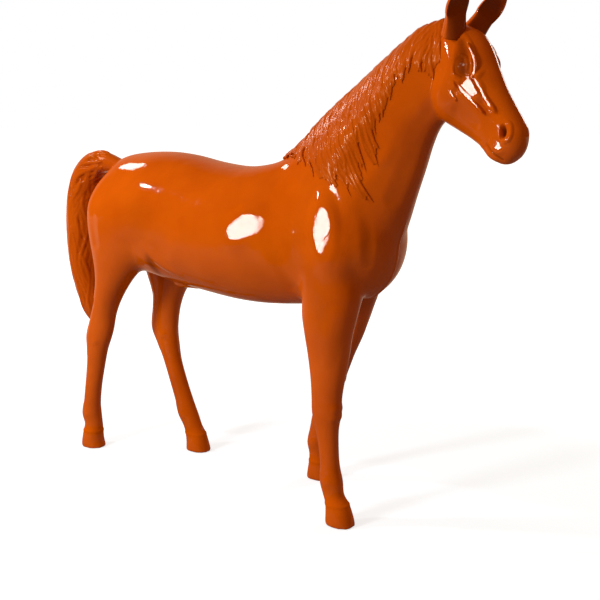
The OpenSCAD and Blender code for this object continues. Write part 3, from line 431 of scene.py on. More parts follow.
# Pieces inside: dark and light colour, scale of the mottle, metallic share, roughness
INNER_LOOKS = {
    "laminate": ((0.38, 0.36, 0.2), (0.52, 0.5, 0.3), 40, 0, 0.6),
    "plywood": ((0.42, 0.25, 0.1), (0.62, 0.42, 0.2), 12, 0, 0.7),
    "frame_steel": ((0.2, 0.21, 0.23), (0.34, 0.35, 0.37), 25, 1, 0.45),
    "fastener_steel": ((0.4, 0.41, 0.43), (0.55, 0.56, 0.58), 30, 1, 0.35),
}
# Detail, roughness and stops of their mottle, and how far their roughness varies
INNER_NOISE, INNER_STOPS, INNER_SPREAD = (6, 0.6), (0.35, 0.7), 0.1

# Stage, in metres and degrees
CAMERA_PLACE, CAMERA_TILT, CAMERA_TURN = (2.74 - MID_X * MM, -3.53, 1.72), 78.6, 34.7
LENS, SENSOR, CLIP_END = 60.96, 36, 100
WHITE, LIGHT_COLOUR = (1, 1, 1), (1, 0.97, 0.92)
# Directions and colours of the backdrop and of the fill light, and the backdrop's soft edge
BACKDROP, ROOM_COLOUR, BACKDROP_COLOUR = (-0.57, 0.82, 0), (0.02, 0.02, 0.02), (0.8, 0.6, 0.42)
BACKDROP_EDGE = 0.55, 0.85
FILL, FILL_LOW, FILL_HIGH = (-0.5, -0.5, 0.7), (0.22, 0.15, 0.1), (0.47, 0.32, 0.21)
# Floor: half its side, its drop below the hooves, its roughness, its colour in light and to the camera
FLOOR_HALF, FLOOR_DROP, FLOOR_ROUGH = 40.0, 0.0005, 0.9
FLOOR_UNSEEN, FLOOR_SEEN = (0.34, 0.34, 0.34), (0.5, 0.6, 0.7)
# Its glow to the camera, near and far, and its glow and tint in reflections, at and behind the horse
FLOOR_FADE, FLOOR_GLOW = (1.5, 4.0), (0.68, 1.0)
FLOOR_BEHIND, FLOOR_MIRRORED, FLOOR_TINT = (1.0, 2.5), (0.0, 0.8), (1, 0.75, 0.52)
# Lights: name, place, target, width, height, power and roll
LIGHTS = (
    ("window", (-1.45, -4.2, 2.4), (0.2, -0.2, 1.2), 0.72, 1.4, 120, -25),
    ("lamp", (-4.25, -2.7, 4.6), (-0.2, -0.2, 1.35), 0.35, 0.35, 80, 0),
    ("side_lamp", (1.2, 4.4, 3.0), (0, 0.1, 1.2), 1.6, 1.6, 45, 0),
    ("back_lamp", (-3.6, 0.45, 3.7), (-0.2, 0, 1.4), 0.7, 0.7, 25, 0),
)


# Lofts

def smooth_rows(keys, t):
    """Rows at t on a smooth curve through the keys, where key i lies at t = i."""
    keys = np.asarray(keys, float)
    last = len(keys) - 1
    i = np.clip(np.floor(t).astype(int), 0, last - 1)
    f = (t - i)[:, None]
    a, b = keys[np.maximum(i - 1, 0)], keys[i]
    c, d = keys[i + 1], keys[np.minimum(i + 2, last)]
    return b + 0.5 * f * (c - a + f * (2 * a - 5 * b + 4 * c - d + f * (3 * (b - c) + d - a)))


def row_at(keys, t):
    return smooth_rows(keys, np.array([t]))[0]


def dense_rows(keys, per_key):
    last = len(keys) - 1
    return smooth_rows(keys, np.linspace(0, last, last * per_key + 1))


def section(centre, pitch, half_w, up, down, n_up, n_down, angles):
    """Points of a rounded section round its centre: angle 0 is left, 90 degrees is up."""
    c, s = np.cos(angles), np.sin(angles)
    power = 2 / np.where(s > 0, n_up, n_down)
    side = half_w * np.sign(c) * np.abs(c) ** power
    height = np.where(s > 0, up, down) * np.sign(s) * np.abs(s) ** power
    tilt = radians(pitch)
    return centre + np.stack([-sin(tilt) * height, side, cos(tilt) * height], 1)


def around(sides):
    return np.arange(sides) * 2 * pi / sides


def on_side(angle, side):
    """An angle from the left, mirrored for the right side."""
    return angle if side > 0 else 180 - angle


def trunk_rings():
    for x, top, bottom, half_w, n_up, n_down in dense_rows(TRUNK, FORM_STEPS):
        widest = bottom + WIDEST_SHARE * (top - bottom)
        yield section((x, 0, widest), 0, half_w, top - widest, widest - bottom,
                      n_up, n_down, around(TRUNK_SIDES))


def bent_section(row, angles, n_up=2, n_down=2):
    """A section of a form that bends in the middle plane: neck, sheath or tail."""
    x, z, pitch, half_w, depth = row
    return section((x, 0, z), pitch, half_w, depth, depth, n_up, n_down, angles)


def bent_rings(keys, sides, n_up=2, n_down=2):
    return [bent_section(row, around(sides), n_up, n_down) for row in dense_rows(keys, BENT_STEPS)]


def limb_section(row, side, angles):
    z, back, front, y, half_w = row
    half = (front - back) / 2
    return section(((front + back) / 2, side * y, z), -90, half_w, half, half,
                   LIMB_SQUARENESS, LIMB_SQUARENESS, angles)


def limb_rings(keys, side):
    return [limb_section(row, side, around(LIMB_SIDES)) for row in dense_rows(keys, FORM_STEPS)]


def turned_with_head(points):
    """Turns points, in millimetres, with the head about its joint."""
    turn = radians(-HEAD_TURN)
    c, s = cos(turn), sin(turn)
    x, y, z = (np.asarray(points, float) - HEAD_JOINT).T
    return np.stack([c * x - s * y, s * x + c * y, z], 1) + HEAD_JOINT


def head_place(along, above, left=0.0):
    """A place on the head's own axis, before its turn: along it, above it and to the left."""
    tilt = radians(HEAD_PITCH)
    c, s = cos(tilt), sin(tilt)
    return np.array(HEAD_ORIGIN) + (c * along - s * above, left, s * along + c * above)


def head_rings():
    for along, crown, jaw, half_w, n_up, n_down in dense_rows(HEAD, FORM_STEPS):
        half = (crown - jaw) / 2
        ring = section(head_place(along, (crown + jaw) / 2), HEAD_PITCH, half_w, half, half,
                       n_up, n_down, around(HEAD_SIDES))
        yield turned_with_head(ring)


def ear_axes(side):
    """Columns: forward, left and up of an ear before the head's turn."""
    turns = ((EAR_LEAN[side], "Y"), (-side * EAR_SPLAY, "X"), (EAR_TURN[side], "Z"))
    lean, splay, turn = (Matrix.Rotation(radians(angle), 3, axis) for angle, axis in turns)
    return np.array(lean @ splay @ turn)


def ear_rings(side):
    root = np.array(EAR_ROOT) + (0, side * EAR_SPREAD, 0)
    for z, shift, half_w, behind, front in dense_rows(EAR, BENT_STEPS):
        ring = section((shift, 0, z), -90, half_w, front, behind, *EAR_SQUARENESS, around(EAR_SIDES))
        yield turned_with_head(ring @ ear_axes(side).T + root)


def neck_point(t, angle, lift=0.0):
    """A place on the neck's loft, angle 0 at its left side and 90 degrees at the crest."""
    row = row_at(NECK, t) + (0, 0, 0, lift, lift)
    return bent_section(row, np.array([radians(angle)]), *NECK_SQUARENESS)[0]


def neck_muscle_rings(side):
    """A long swelling down the side of the neck, which narrows to a point at both ends."""
    for t, angle, radius, lift in dense_rows(NECK_MUSCLE, FORM_STEPS):
        centre = neck_point(t, on_side(angle, side), lift - radius)
        yield section(centre, row_at(NECK, t)[2], radius, radius, radius, 2, 2, around(MUSCLE_SIDES))


def loft(rings):
    """Points and faces of a closed skin over rings of equal length."""
    rings = np.array(list(rings))
    rows, sides = rings.shape[:2]
    at = np.arange(rows * sides).reshape(rows, sides)
    beside = np.roll(at, -1, 1)
    quads = np.stack([at[:-1], beside[:-1], beside[1:], at[1:]], -1).reshape(-1, 4)
    return rings.reshape(-1, 3), quads.tolist() + [at[0][::-1].tolist(), at[-1].tolist()]


# Meshes

def to_frame(points):
    return (np.asarray(points, float) - (MID_X, 0, 0)) * MM


def joined(shapes):
    points, faces, start = [], [], 0
    for shape_points, shape_faces in shapes:
        points.append(shape_points)
        faces += [[start + i for i in face] for face in shape_faces]
        start += len(shape_points)
    return np.concatenate(points), faces


def new_mesh(name, points, faces):
    mesh = bpy.data.meshes.new(name)
    mesh.from_pydata(points, [], faces)
    mesh.update()
    return mesh


def new_object(name, data):
    obj = bpy.data.objects.new(name, data)
    bpy.context.scene.collection.objects.link(obj)
    return obj


def melted(name, shapes, voxel):
    """One closed mesh over all the shapes, in metres."""
    points, faces = joined(shapes)
    rough = new_object(name + "_rough", new_mesh(name + "_rough", to_frame(points), faces))
    voxels = rough.modifiers.new("voxels", "REMESH")
    voxels.mode = "VOXEL"
    voxels.voxel_size = voxel * MM
    done = rough.evaluated_get(bpy.context.evaluated_depsgraph_get())
    mesh = bpy.data.meshes.new_from_object(done)
    mesh.name = name
    rough_mesh = rough.data
    bpy.data.objects.remove(rough)
    bpy.data.meshes.remove(rough_mesh)
    return mesh


def read(items, name, width, kind=float):
    values = np.empty(len(items) * width, kind)
    items.foreach_get(name, values)
    return values.reshape(-1, width)


def read_points(mesh):
    return read(mesh.vertices, "co", 3)


def read_edges(mesh):
    return read(mesh.edges, "vertices", 2, np.int32)


def read_normals(mesh):
    return read(mesh.vertex_normals, "vector", 3, np.float32).astype(float)


def write_points(mesh, points):
    mesh.vertices.foreach_set("co", np.asarray(points, np.float32).ravel())
    mesh.update()


def point_layer(mesh, name):
    return mesh.attributes.get(name) or mesh.attributes.new(name, "FLOAT", "POINT")


def write_layer(mesh, name, values):
    point_layer(mesh, name).data.foreach_set("value", np.asarray(values, np.float32))


def relaxed(points, edges, rounds, amount):
    """Points drawn towards the mean of their neighbours; amount is one share, or one for each point."""
    count = np.bincount(edges.ravel(), minlength=len(points))[:, None]
    amount = np.reshape(amount, (-1, 1))
    for _ in range(rounds):
        total = np.stack([np.bincount(edges[:, 0], points[edges[:, 1], k], len(points))
                          + np.bincount(edges[:, 1], points[edges[:, 0], k], len(points))
                          for k in range(3)], 1)
        points = points + amount * (total / count - points)
    return points


def polished(points, edges, rounds):
    """Takes out small bumps and keeps the size: a step in and a slightly longer step out."""
    for _ in range(rounds):
        points = relaxed(points, edges, 1, POLISH_IN)
        points = relaxed(points, edges, 1, POLISH_OUT)
    return points


def polish(mesh, rounds):
    write_points(mesh, polished(read_points(mesh), read_edges(mesh), rounds))


def refine(mesh, inside):
    """Halves the size of the faces between the chosen points."""
    work = bmesh.new()
    work.from_mesh(mesh)
    edges = [e for e in work.edges if inside[e.verts[0].index] and inside[e.verts[1].index]]
    bmesh.ops.subdivide_edges(work, edges=edges, cuts=1, use_grid_fill=True)
    work.to_mesh(mesh)
    work.free()


def rise(value, low, high):
    """0 below low, 1 above high and smooth between."""
    f = np.clip((value - low) / (high - low), 0, 1)
    return f * f * (3 - 2 * f)


def unit(vectors):
    """A vector, or rows of them, at a length of 1."""
    return vectors / np.linalg.norm(vectors, axis=-1, keepdims=True)


# Skin

def skin_shapes():
    yield loft(trunk_rings())
    yield loft(bent_rings(NECK, NECK_SIDES, *NECK_SQUARENESS))
    yield loft(limb_rings(BREAST, 0))
    yield loft(bent_rings(SHEATH, SHEATH_SIDES))
    yield loft(head_rings())
    for side in SIDES:
        yield loft(neck_muscle_rings(side))
    for keys, side in LEGS.values():
        yield loft(limb_rings(keys, side))


def blend_share(points):
    """How strongly the seams between forms melt: most on the trunk, little on legs and head."""
    x, _, z = (points / MM).T + np.array([[MID_X], [0], [0]])
    trunk = rise(z, *MELT_Z) * (1 - rise(x, *MELT_X))
    return np.maximum(MELT_MOST * trunk, MELT_LEAST)


def base_skin():
    mesh = melted("skin", skin_shapes(), SKIN_VOXEL)
    points, edges = read_points(mesh), read_edges(mesh)
    points = polished(points, edges, SKIN_POLISH)
    points = relaxed(points, edges, MELT_ROUNDS, blend_share(points))
    points = polished(points, edges, SKIN_POLISH)
    write_points(mesh, points)
    refine(mesh, points[:, 0] > (HEAD_JOINT[0] - MID_X) * MM)
    polish(mesh, HEAD_POLISH)
    return mesh


# Carving

def skin_tree(mesh):
    whole = bmesh.new()
    whole.from_mesh(mesh)
    tree = BVHTree.FromBMesh(whole)
    whole.free()
    return tree


def cast(tree, start, end):
    """The first place on the skin on the way from start to end, in metres."""
    start, end = (Vector(to_frame(p)) for p in (start, end))
    place = tree.ray_cast(start, end - start)[0]
    return np.array(place if place else tree.find_nearest(end)[0])


def body_place(tree, x, z, side):
    return cast(tree, (x, side * BODY_OUT, z), (x, 0, z))


def neck_place(tree, t, angle, side):
    return np.array(tree.find_nearest(Vector(to_frame(neck_point(t, on_side(angle, side)))))[0])


def face_place(tree, along, above, side):
    start, end = turned_with_head([head_place(along, above, side * FACE_OUT), head_place(along, above)])
    return cast(tree, start, end)


def leg_place(keys, z, angle, side):
    heights = np.array([row[0] for row in keys])
    row = row_at(keys, np.interp(-z, -heights, np.arange(len(keys))))
    row[0] = z
    return to_frame(limb_section(row, side, np.array([radians(on_side(angle, side))]))[0])


def finder(place, surface, side):
    """A way to find a row, by its first two numbers, on one side of the skin or of a leg."""
    return lambda row: place(surface, row[0], row[1], side)


def head_axes():
    """Directions of the turned head: to the muzzle, the crown and its left."""
    ends = turned_with_head([head_place(0, 0), head_place(1, 0), head_place(0, 1), head_place(0, 0, 1)])
    return ends[1:] - ends[0]


def ridge(points, path, radii, heights):
    """Height, at each point, of a soft ridge (or groove) over a path."""
    heights_here = np.zeros(len(points))
    for i in range(max(len(path) - 1, 1)):
        j = min(i + 1, len(path) - 1)
        a, run, reach = path[i], path[j] - path[i], max(radii[i], radii[j])
        low, high = np.minimum(a, a + run) - reach, np.maximum(a, a + run) + reach
        near = np.flatnonzero(np.all((points > low) & (points < high), axis=1))
        offset = points[near] - a
        share = np.clip(offset @ run / max(run @ run, TINY), 0, 1)
        gap = np.linalg.norm(offset - share[:, None] * run, axis=1)
        radius = radii[i] + share * (radii[j] - radii[i])
        height = heights[i] + share * (heights[j] - heights[i])
        push = height * np.clip(1 - (gap / radius) ** 2, 0, None) ** 2
        heights_here[near] = np.where(np.abs(push) > np.abs(heights_here[near]), push, heights_here[near])
    return heights_here


def stroke_ridge(points, stroke, find_place):
    """A stroke's rows end in a radius and a height; find_place(row) gives a row's place on the skin."""
    rows = dense_rows(stroke, STROKE_STEPS) if len(stroke) > 1 else np.array(stroke, float)
    path = np.array([find_place(row) for row in rows])
    return ridge(points, path, rows[:, -2] * MM, rows[:, -1])


def carve(mesh, strokes, find_place):
    points, normals = read_points(mesh), read_normals(mesh)
    for stroke in strokes:
        points = points + normals * MM * stroke_ridge(points, stroke, find_place)[:, None]
    write_points(mesh, points)


def tilted(axes, ahead, up, side):
    """The way a plane faces: to one side, and some degrees ahead and up."""
    return unit(axes[0] * tan(radians(ahead)) + axes[1] * tan(radians(up)) + axes[2] * side)


def sloped(axes, slope):
    """The way of an oval's long side, some degrees above straight ahead."""
    return axes[0] * cos(radians(slope)) + axes[1] * sin(radians(slope))


def flattened(points, normals, place, facing, along, half_long, half_wide, share):
    """Points drawn onto a plane through a place, fully in the middle of an oval and less at its edge."""
    along = unit(along - facing * (along @ facing))
    offset = points - place
    depth = offset @ facing
    gap = np.hypot(offset @ along / half_long, offset @ np.cross(facing, along) / half_wide)
    weight = share * (1 - rise(gap, *OVAL_EDGE)) * rise(normals @ facing, *OVAL_TURN)
    return points - facing * (weight * depth)[:, None]


def flatten(mesh, planes, axes, find_place, side):
    """Draws ovals of the skin onto planes of their own; the axes point ahead, up and to the left."""
    points, normals = read_points(mesh), read_normals(mesh)
    for *spot, half_long, half_wide, slope, share, ahead, up, lift in planes:
        place = find_place(spot) + axes[2] * side * lift * MM
        points = flattened(points, normals, place, tilted(axes, ahead, up, side), sloped(axes, slope),
                           half_long * MM, half_wide * MM, share)
    write_points(mesh, points)


def cut_facets(mesh, tree, side):
    """Draws ovals of the face onto the plane that they share."""
    points, normals, axes = read_points(mesh), read_normals(mesh), head_axes()
    for anchor, lift, ahead, up, share, ovals in FACE_FACETS:
        facing = tilted(axes, ahead, up, side)
        level = face_place(tree, *anchor, side) @ facing + lift * MM
        for along, above, half_long, half_wide, slope in ovals:
            place = face_place(tree, along, above, side)
            points = flattened(points, normals, place + facing * (level - place @ facing), facing,
                               sloped(axes, slope), half_long * MM, half_wide * MM, share)
    write_points(mesh, points)


def keep_strength(mesh, name, strokes, find_place):
    """Keeps the strength of painted shade or of a dull patch at each point, for the material."""
    points = read_points(mesh)
    strength = np.zeros(len(points), np.float32)
    point_layer(mesh, name).data.foreach_get("value", strength)
    for stroke in strokes:
        strength = np.maximum(strength, np.minimum(stroke_ridge(points, stroke, find_place), 1))
    write_layer(mesh, name, strength)


def near_face_details(mesh):
    """Which points lie near the fine details of the face."""
    points, tree = read_points(mesh), skin_tree(mesh)
    places = [(face_place(tree, along, above, side), reach) for along, above, reach in FACE_SPOTS
              for side in SIDES]
    return np.any([np.linalg.norm(points - place, axis=1) < reach * MM for place, reach in places], axis=0)


def breast_share(points):
    """How far points belong to the front and the bottom of the breast."""
    x, z = points[:, 0] / MM + MID_X, points[:, 2] / MM
    return rise(x, *SEAM_X) * (1 - rise(z, *SEAM_Z))


def raise_seam(mesh):
    """A bead along the middle of the breast, where the halves of the trunk meet."""
    points = read_points(mesh)
    refine(mesh, (np.abs(points[:, 1]) < 2 * SEAM_HALF * MM) & (breast_share(points) > 0))
    points, normals = read_points(mesh), read_normals(mesh)
    bead = np.clip(1 - (points[:, 1] / (SEAM_HALF * MM)) ** 2, 0, None) * breast_share(points)
    write_points(mesh, points + normals * (SEAM_HEIGHT * MM * bead)[:, None])


def carve_skin(mesh):
    tree = skin_tree(mesh)
    for side in SIDES:
        carve(mesh, BODY_STROKES, finder(body_place, tree, side))
        carve(mesh, NECK_STROKES, finder(neck_place, tree, side))
        carve(mesh, FACE_STROKES, finder(face_place, tree, side))
    for name, (keys, side) in LEGS.items():
        strokes = FORE_STROKES if name.startswith("fore") else HIND_STROKES
        carve(mesh, strokes + (HOOF_RIM,), finder(leg_place, keys, side))
    refine(mesh, near_face_details(mesh))
    tree = skin_tree(mesh)
    for side in SIDES:
        flatten(mesh, BODY_PLANES, BODY_AXES, finder(body_place, tree, side), side)
        flatten(mesh, FACE_PLANES, head_axes(), finder(face_place, tree, side), side)
    tree = skin_tree(mesh)
    for side in SIDES:
        carve(mesh, FACE_DETAILS, finder(face_place, tree, side))
    tree = skin_tree(mesh)
    for side in SIDES:
        cut_facets(mesh, tree, side)
    polish(mesh, CARVED_POLISH)
    raise_seam(mesh)
    tree = skin_tree(mesh)
    # Painted shade on the trunk and the face, then duller gelcoat
    for side in SIDES:
        keep_strength(mesh, "painted_shade_and_tone", BODY_PAINTED_SHADE, finder(body_place, tree, side))
        keep_strength(mesh, "painted_shade_and_tone", FACE_PAINTED_SHADE, finder(face_place, tree, side))
        keep_strength(mesh, "dull", BODY_DULL, finder(body_place, tree, side))
        keep_strength(mesh, "dull", FACE_DULL, finder(face_place, tree, side))
    for keys, side in LEGS.values():
        keep_strength(mesh, "dull", (HOOF_DULL,), finder(leg_place, keys, side))


# Hair

def strand(path, normals, half_widths, half_depths):
    """Rings of a flat tapered strand that lies along a path with its broad side up."""
    along = np.gradient(path, axis=0)
    across = unit(np.cross(normals, along))
    angles = around(STRAND_SIDES)
    return [p + np.outer(np.cos(angles) * w, a) + np.outer(np.sin(angles) * d, n)
            for p, a, n, w, d in zip(path, across, normals, half_widths, half_depths)]


def mane_strand(tree, root, tip, root_angle, tip_angle, wave, phase, half_w, flatness, lift, rows=LOCK_ROWS):
    """One wavy strand from the crest down the right of the neck."""
    f = np.linspace(0, 1, rows)
    path, normals = [], []
    for share in f:
        swing = wave * share * sin(phase + share * LOCK_WAVE)
        t = root + (tip - root) * share + swing
        angle = root_angle + (tip_angle - root_angle) * share
        place, normal, _, _ = tree.find_nearest(Vector(to_frame(neck_point(t, angle))))
        path.append(np.array(place) / MM + (MID_X, 0, 0) + np.array(normal) * lift * (1 - LOCK_SINK * share))
        normals.append(np.array(normal))
    taper = np.interp(f, *LOCK_TAPER)
    return loft(strand(np.array(path), np.array(normals), half_w * taper, flatness * half_w * taper))


def mane_shapes(tree):
    """Strands in layers, from a smooth sheet below to short curls above."""
    chance = np.random.default_rng(MANE_SEED)
    clump_reach = chance.uniform(*CLUMP_REACH, CLUMP_COUNT)
    yield mane_strand(tree, MANE_FROM, MANE_TO, ROLL_ANGLE, ROLL_ANGLE, 0, 0,
                      ROLL_HALF, ROLL_FLATNESS, ROLL_LIFT, ROLL_ROWS)
    for count, length, roots, widths, flatness, lift, wave in MANE_LAYERS:
        limits = (*LOCK_PLACE, roots, *LOCK_SWING, widths)
        for i in range(count):
            shift, stretch, lean, below_poll, root_angle, swing, phase, half_w = (
                chance.uniform(*pair) for pair in limits)
            tip = MANE_FROM + (MANE_TO - MANE_FROM) * (i + shift) / count
            clump = round(tip / MANE_CLUMP)
            reach = length * clump_reach[clump] * stretch
            fall = (np.interp(tip, *np.transpose(MANE_EDGE)) - LOCK_TOP) * reach
            root = min(tip + MANE_LEAN * fall * lean, MANE_TO + below_poll)
            tip += CLUMP_PULL * length * (clump * MANE_CLUMP - tip)
            yield mane_strand(tree, root, tip, root_angle, LOCK_TOP + fall, wave * swing, phase,
                              half_w, flatness, lift)


def tail_point(t, angle, share):
    return bent_section(row_at(TAIL, t) * (1, 1, 1, share, share), np.array([angle]))[0]


def tail_shapes():
    """A core and wavy locks that lie along it."""
    chance = np.random.default_rng(TAIL_SEED)
    yield loft(bent_rings(np.array(TAIL) * (1, 1, 1, TAIL_CORE, TAIL_CORE), TAIL_SIDES))
    taper = np.interp(np.linspace(0, 1, TAIL_ROWS), *TAIL_TAPER)
    for i in range(TAIL_LOCKS):
        shift, start, length, end, twist, wave, phase, half_w = (
            chance.uniform(*pair) for pair in TAIL_CHANCES)
        turn = 2 * pi * (i + shift) / TAIL_LOCKS
        t = np.linspace(start, min(start + length, end), TAIL_ROWS)
        angles = turn + twist * (t - start) + wave * np.sin(phase + TAIL_WAVE * t)
        path, centre = (np.array([tail_point(a, b, share) for a, b in zip(t, angles)])
                        for share in (TAIL_DEPTH, 0.0))
        yield loft(strand(path, unit(path - centre), half_w * taper, TAIL_FLATNESS * half_w * taper))


def hair_object(name, shapes, voxel):
    mesh = melted(name + "_hair", shapes, voxel)
    polish(mesh, FINE_POLISH)
    write_layer(mesh, "painted_shade_and_tone", np.full(len(mesh.vertices), HAIR_DARKENING))
    write_layer(mesh, "dull", np.full(len(mesh.vertices), HAIR_DULL))
    mesh.shade_smooth()
    return new_object(name + "_hair", mesh)


# Cuts at the joints

def joint_normal(pitch):
    tilt = radians(pitch)
    return Vector((cos(tilt), 0, sin(tilt)))


def cut(whole, point, normal):
    """Two closed halves of a closed mesh: the one the normal points away from, then the other."""
    halves = []
    for keep_front in (False, True):
        half = whole.copy()
        done = bmesh.ops.bisect_plane(
            half, geom=half.verts[:] + half.edges[:] + half.faces[:], dist=CUT_REACH,
            plane_co=point, plane_no=normal, clear_inner=keep_front, clear_outer=not keep_front)
        rim = [e for e in done["geom_cut"] if isinstance(e, bmesh.types.BMEdge) and e.is_boundary]
        mark = half.faces.layers.int["joint_face"]
        for face in bmesh.ops.holes_fill(half, edges=rim)["faces"]:
            face[mark] = 1
        halves.append(half)
    whole.free()
    return halves


def skin_pieces(mesh):
    """Names and halves of the skin, cut into the part's shells and legs."""
    whole = bmesh.new()
    whole.from_mesh(mesh)
    whole.faces.layers.int.new("joint_face")
    smooth = whole.verts.layers.float_vector.new("skin_normal")
    for vert in whole.verts:
        vert[smooth] = vert.normal
    head_joint, neck_joint = (Vector(to_frame(joint)) for joint in (HEAD_JOINT, NECK_JOINT))
    middle = (Vector(), Vector((0, 1, 0)))
    body, head = cut(whole, head_joint, joint_normal(HEAD_JOINT_PITCH))
    yield "head_shell", cut(head, head_joint, Vector(head_axes()[2]))
    trunk, neck = cut(body, neck_joint, joint_normal(NECK_JOINT_PITCH))
    yield "neck_shell", cut(neck, *middle)
    legs, trunk = cut(trunk, Vector((0, 0, LEG_JOINT_Z * MM)), Vector((0, 0, 1)))
    yield "torso_shell", cut(trunk, *middle)
    hind, fore = cut(legs, Vector(), Vector((1, 0, 0)))
    yield "hind_leg", cut(hind, *middle)
    yield "fore_leg", cut(fore, *middle)


def piece_object(name, piece):
    """A piece of skin whose shading runs on smoothly across the joints."""
    mesh = bpy.data.meshes.new(name + "_skin")
    piece.normal_update()
    smooth, mark = piece.verts.layers.float_vector["skin_normal"], piece.faces.layers.int["joint_face"]
    normals = []
    for face in piece.faces:
        face.smooth = True
        for loop in face.loops:
            normals.append(face.normal[:] if face[mark] else loop.vert[smooth].normalized()[:])
    piece.to_mesh(mesh)
    piece.free()
    mesh.normals_split_custom_set(normals)
    return new_object(name + "_skin", mesh)


def ear_object(name, side):
    """One ear, with painted shade in its hollow."""
    points, faces = loft(ear_rings(side))
    mesh = new_mesh(name + "_skin", to_frame(points), faces)
    polish(mesh, FINE_POLISH)
    forward = turned_with_head([ear_axes(side)[:, 0] + HEAD_JOINT])[0] - HEAD_JOINT
    write_layer(mesh, "painted_shade_and_tone", EAR_PAINTED_SHADE * rise(read_normals(mesh) @ forward, *EAR_HOLLOW))
    mesh.shade_smooth()
    return new_object(name + "_skin", mesh)


# Materials

def new_material(name):
    material = bpy.data.materials.new(name)
    material.use_nodes = True
    tree = material.node_tree
    return material, tree, tree.nodes["Principled BSDF"]


def set_socket(tree, socket, value):
    """Gives a socket a value, or links it to another socket."""
    if isinstance(value, bpy.types.NodeSocket):
        tree.links.new(value, socket)
    else:
        socket.default_value = value


def set_sockets(tree, node, values):
    for key, value in values.items():
        set_socket(tree, node.inputs[key], value)


def add_node(tree, kind, values=None, **settings):
    """A node with its settings, and its inputs' values or links by name or number."""
    node = tree.nodes.new("ShaderNode" + kind)
    for name, setting in settings.items():
        setattr(node, name, setting)
    set_sockets(tree, node, values or {})
    return node


def calculated(tree, operation, *values):
    return add_node(tree, "Math", dict(enumerate(values)), operation=operation).outputs["Value"]


def spread(tree, value, limits, results):
    """A value between two limits, spread between two results."""
    return add_node(tree, "MapRange", {
        "Value": value, "From Min": limits[0], "From Max": limits[1],
        "To Min": results[0], "To Max": results[1]}).outputs["Result"]


def mixed(tree, share, first, second):
    node = add_node(tree, "Mix", {"Factor": share}, data_type="RGBA")
    colours = [socket for socket in node.inputs if socket.type == "RGBA"]
    for socket, value in zip(colours, (first, second)):
        set_socket(tree, socket, value)
    return next(socket for socket in node.outputs if socket.type == "RGBA")


def noise(tree, scale, detail, roughness=0.5):
    place = add_node(tree, "TexCoord").outputs["Object"]
    return add_node(tree, "TexNoise", {
        "Vector": place, "Scale": scale, "Detail": detail, "Roughness": roughness}).outputs["Fac"]


def ramp(tree, value, first, second, stops=(0, 1)):
    """One colour up to the first stop, another from the second, and a blend between."""
    node = add_node(tree, "ValToRGB", {"Fac": value})
    for element, stop, colour in zip(node.color_ramp.elements, stops, (first, second)):
        element.position = stop
        element.color = (*colour, 1)
    return node.outputs["Color"]


def facing_share(tree, direction, towards):
    """How far a direction or a place lies towards a given direction."""
    return add_node(tree, "VectorMath", {0: direction, 1: towards},
                    operation="DOT_PRODUCT").outputs["Value"]


def gelcoat_material(name, rough, glint):
    """Orange resin under a clear coat, darkened by painted shade and by the hair's darker tone; the glint is
    the warm shine of the resin itself.
    """
    material, tree, shader = new_material(name)
    # Painted shade: where the first attribute is strong, the colour is mixed towards dark and the coat
    # thinned
    painted_shade_and_tone, dull = (add_node(tree, "Attribute", attribute_name=layer).outputs["Fac"]
                   for layer in ("painted_shade_and_tone", "dull"))
    colour = ramp(tree, noise(tree, *MOTTLE_NOISE), GELCOAT_DARK, GELCOAT_LIGHT, MOTTLE_STOPS)
    gloss = spread(tree, painted_shade_and_tone, (0, 1), (COAT_CLEAN, COAT_SHADED))
    bump = add_node(tree, "Bump", {
        "Strength": WAVE_STRENGTH, "Distance": WAVE_HEIGHT, "Height": noise(tree, *WAVE_NOISE)})
    set_sockets(tree, shader, {
        "Base Color": mixed(tree, painted_shade_and_tone, colour, (*GELCOAT_SHADED, 1)),
        "Roughness": rough,
        "Specular IOR Level": glint,
        "Specular Tint": (*GLINT_TINT, 1),
        "Coat Weight": calculated(tree, "MULTIPLY", gloss, calculated(tree, "SUBTRACT", 1, dull)),
        "Coat Roughness": COAT_ROUGH,
        "Normal": bump.outputs["Normal"],
        "Coat Normal": bump.outputs["Normal"],
    })
    return material


def plain_material(name, dark, light, scale, metallic, rough):
    """A mottled material for the pieces inside."""
    material, tree, shader = new_material(name)
    mottle = noise(tree, scale, *INNER_NOISE)
    set_sockets(tree, shader, {
        "Base Color": ramp(tree, mottle, dark, light, INNER_STOPS),
        "Roughness": spread(tree, mottle, (0, 1), (rough - INNER_SPREAD, rough + INNER_SPREAD)),
        "Metallic": metallic,
    })
    return material


def paint_inner_nodes():
    looks = {slot: plain_material(slot, *look) for slot, look in INNER_LOOKS.items()}
    for part in frame["record"]["subparts"]:
        if part["material_slot"] in looks:
            slots = frame["nodes"][part["node"]].data.materials
            slots.clear()
            slots.append(looks[part["material_slot"]])


# Stage

def area_light(name, place, target, width, height, power, roll):
    data = bpy.data.lights.new(name, "AREA")
    data.shape = "ELLIPSE"
    data.size, data.size_y = width, height
    data.energy = power
    data.color = LIGHT_COLOUR
    light = new_object(name, data)
    light.location = place
    aim = (Vector(target) - Vector(place)).to_track_quat("-Z", "Y")
    light.rotation_euler = (aim @ Quaternion((0, 0, 1), radians(roll))).to_euler()


def camera():
    data = bpy.data.cameras.new("camera")
    data.lens, data.sensor_width = LENS, SENSOR
    data.clip_end = CLIP_END
    obj = new_object("camera", data)
    obj.location = CAMERA_PLACE
    obj.rotation_euler = (radians(CAMERA_TILT), 0, radians(CAMERA_TURN))
    bpy.context.scene.camera = obj


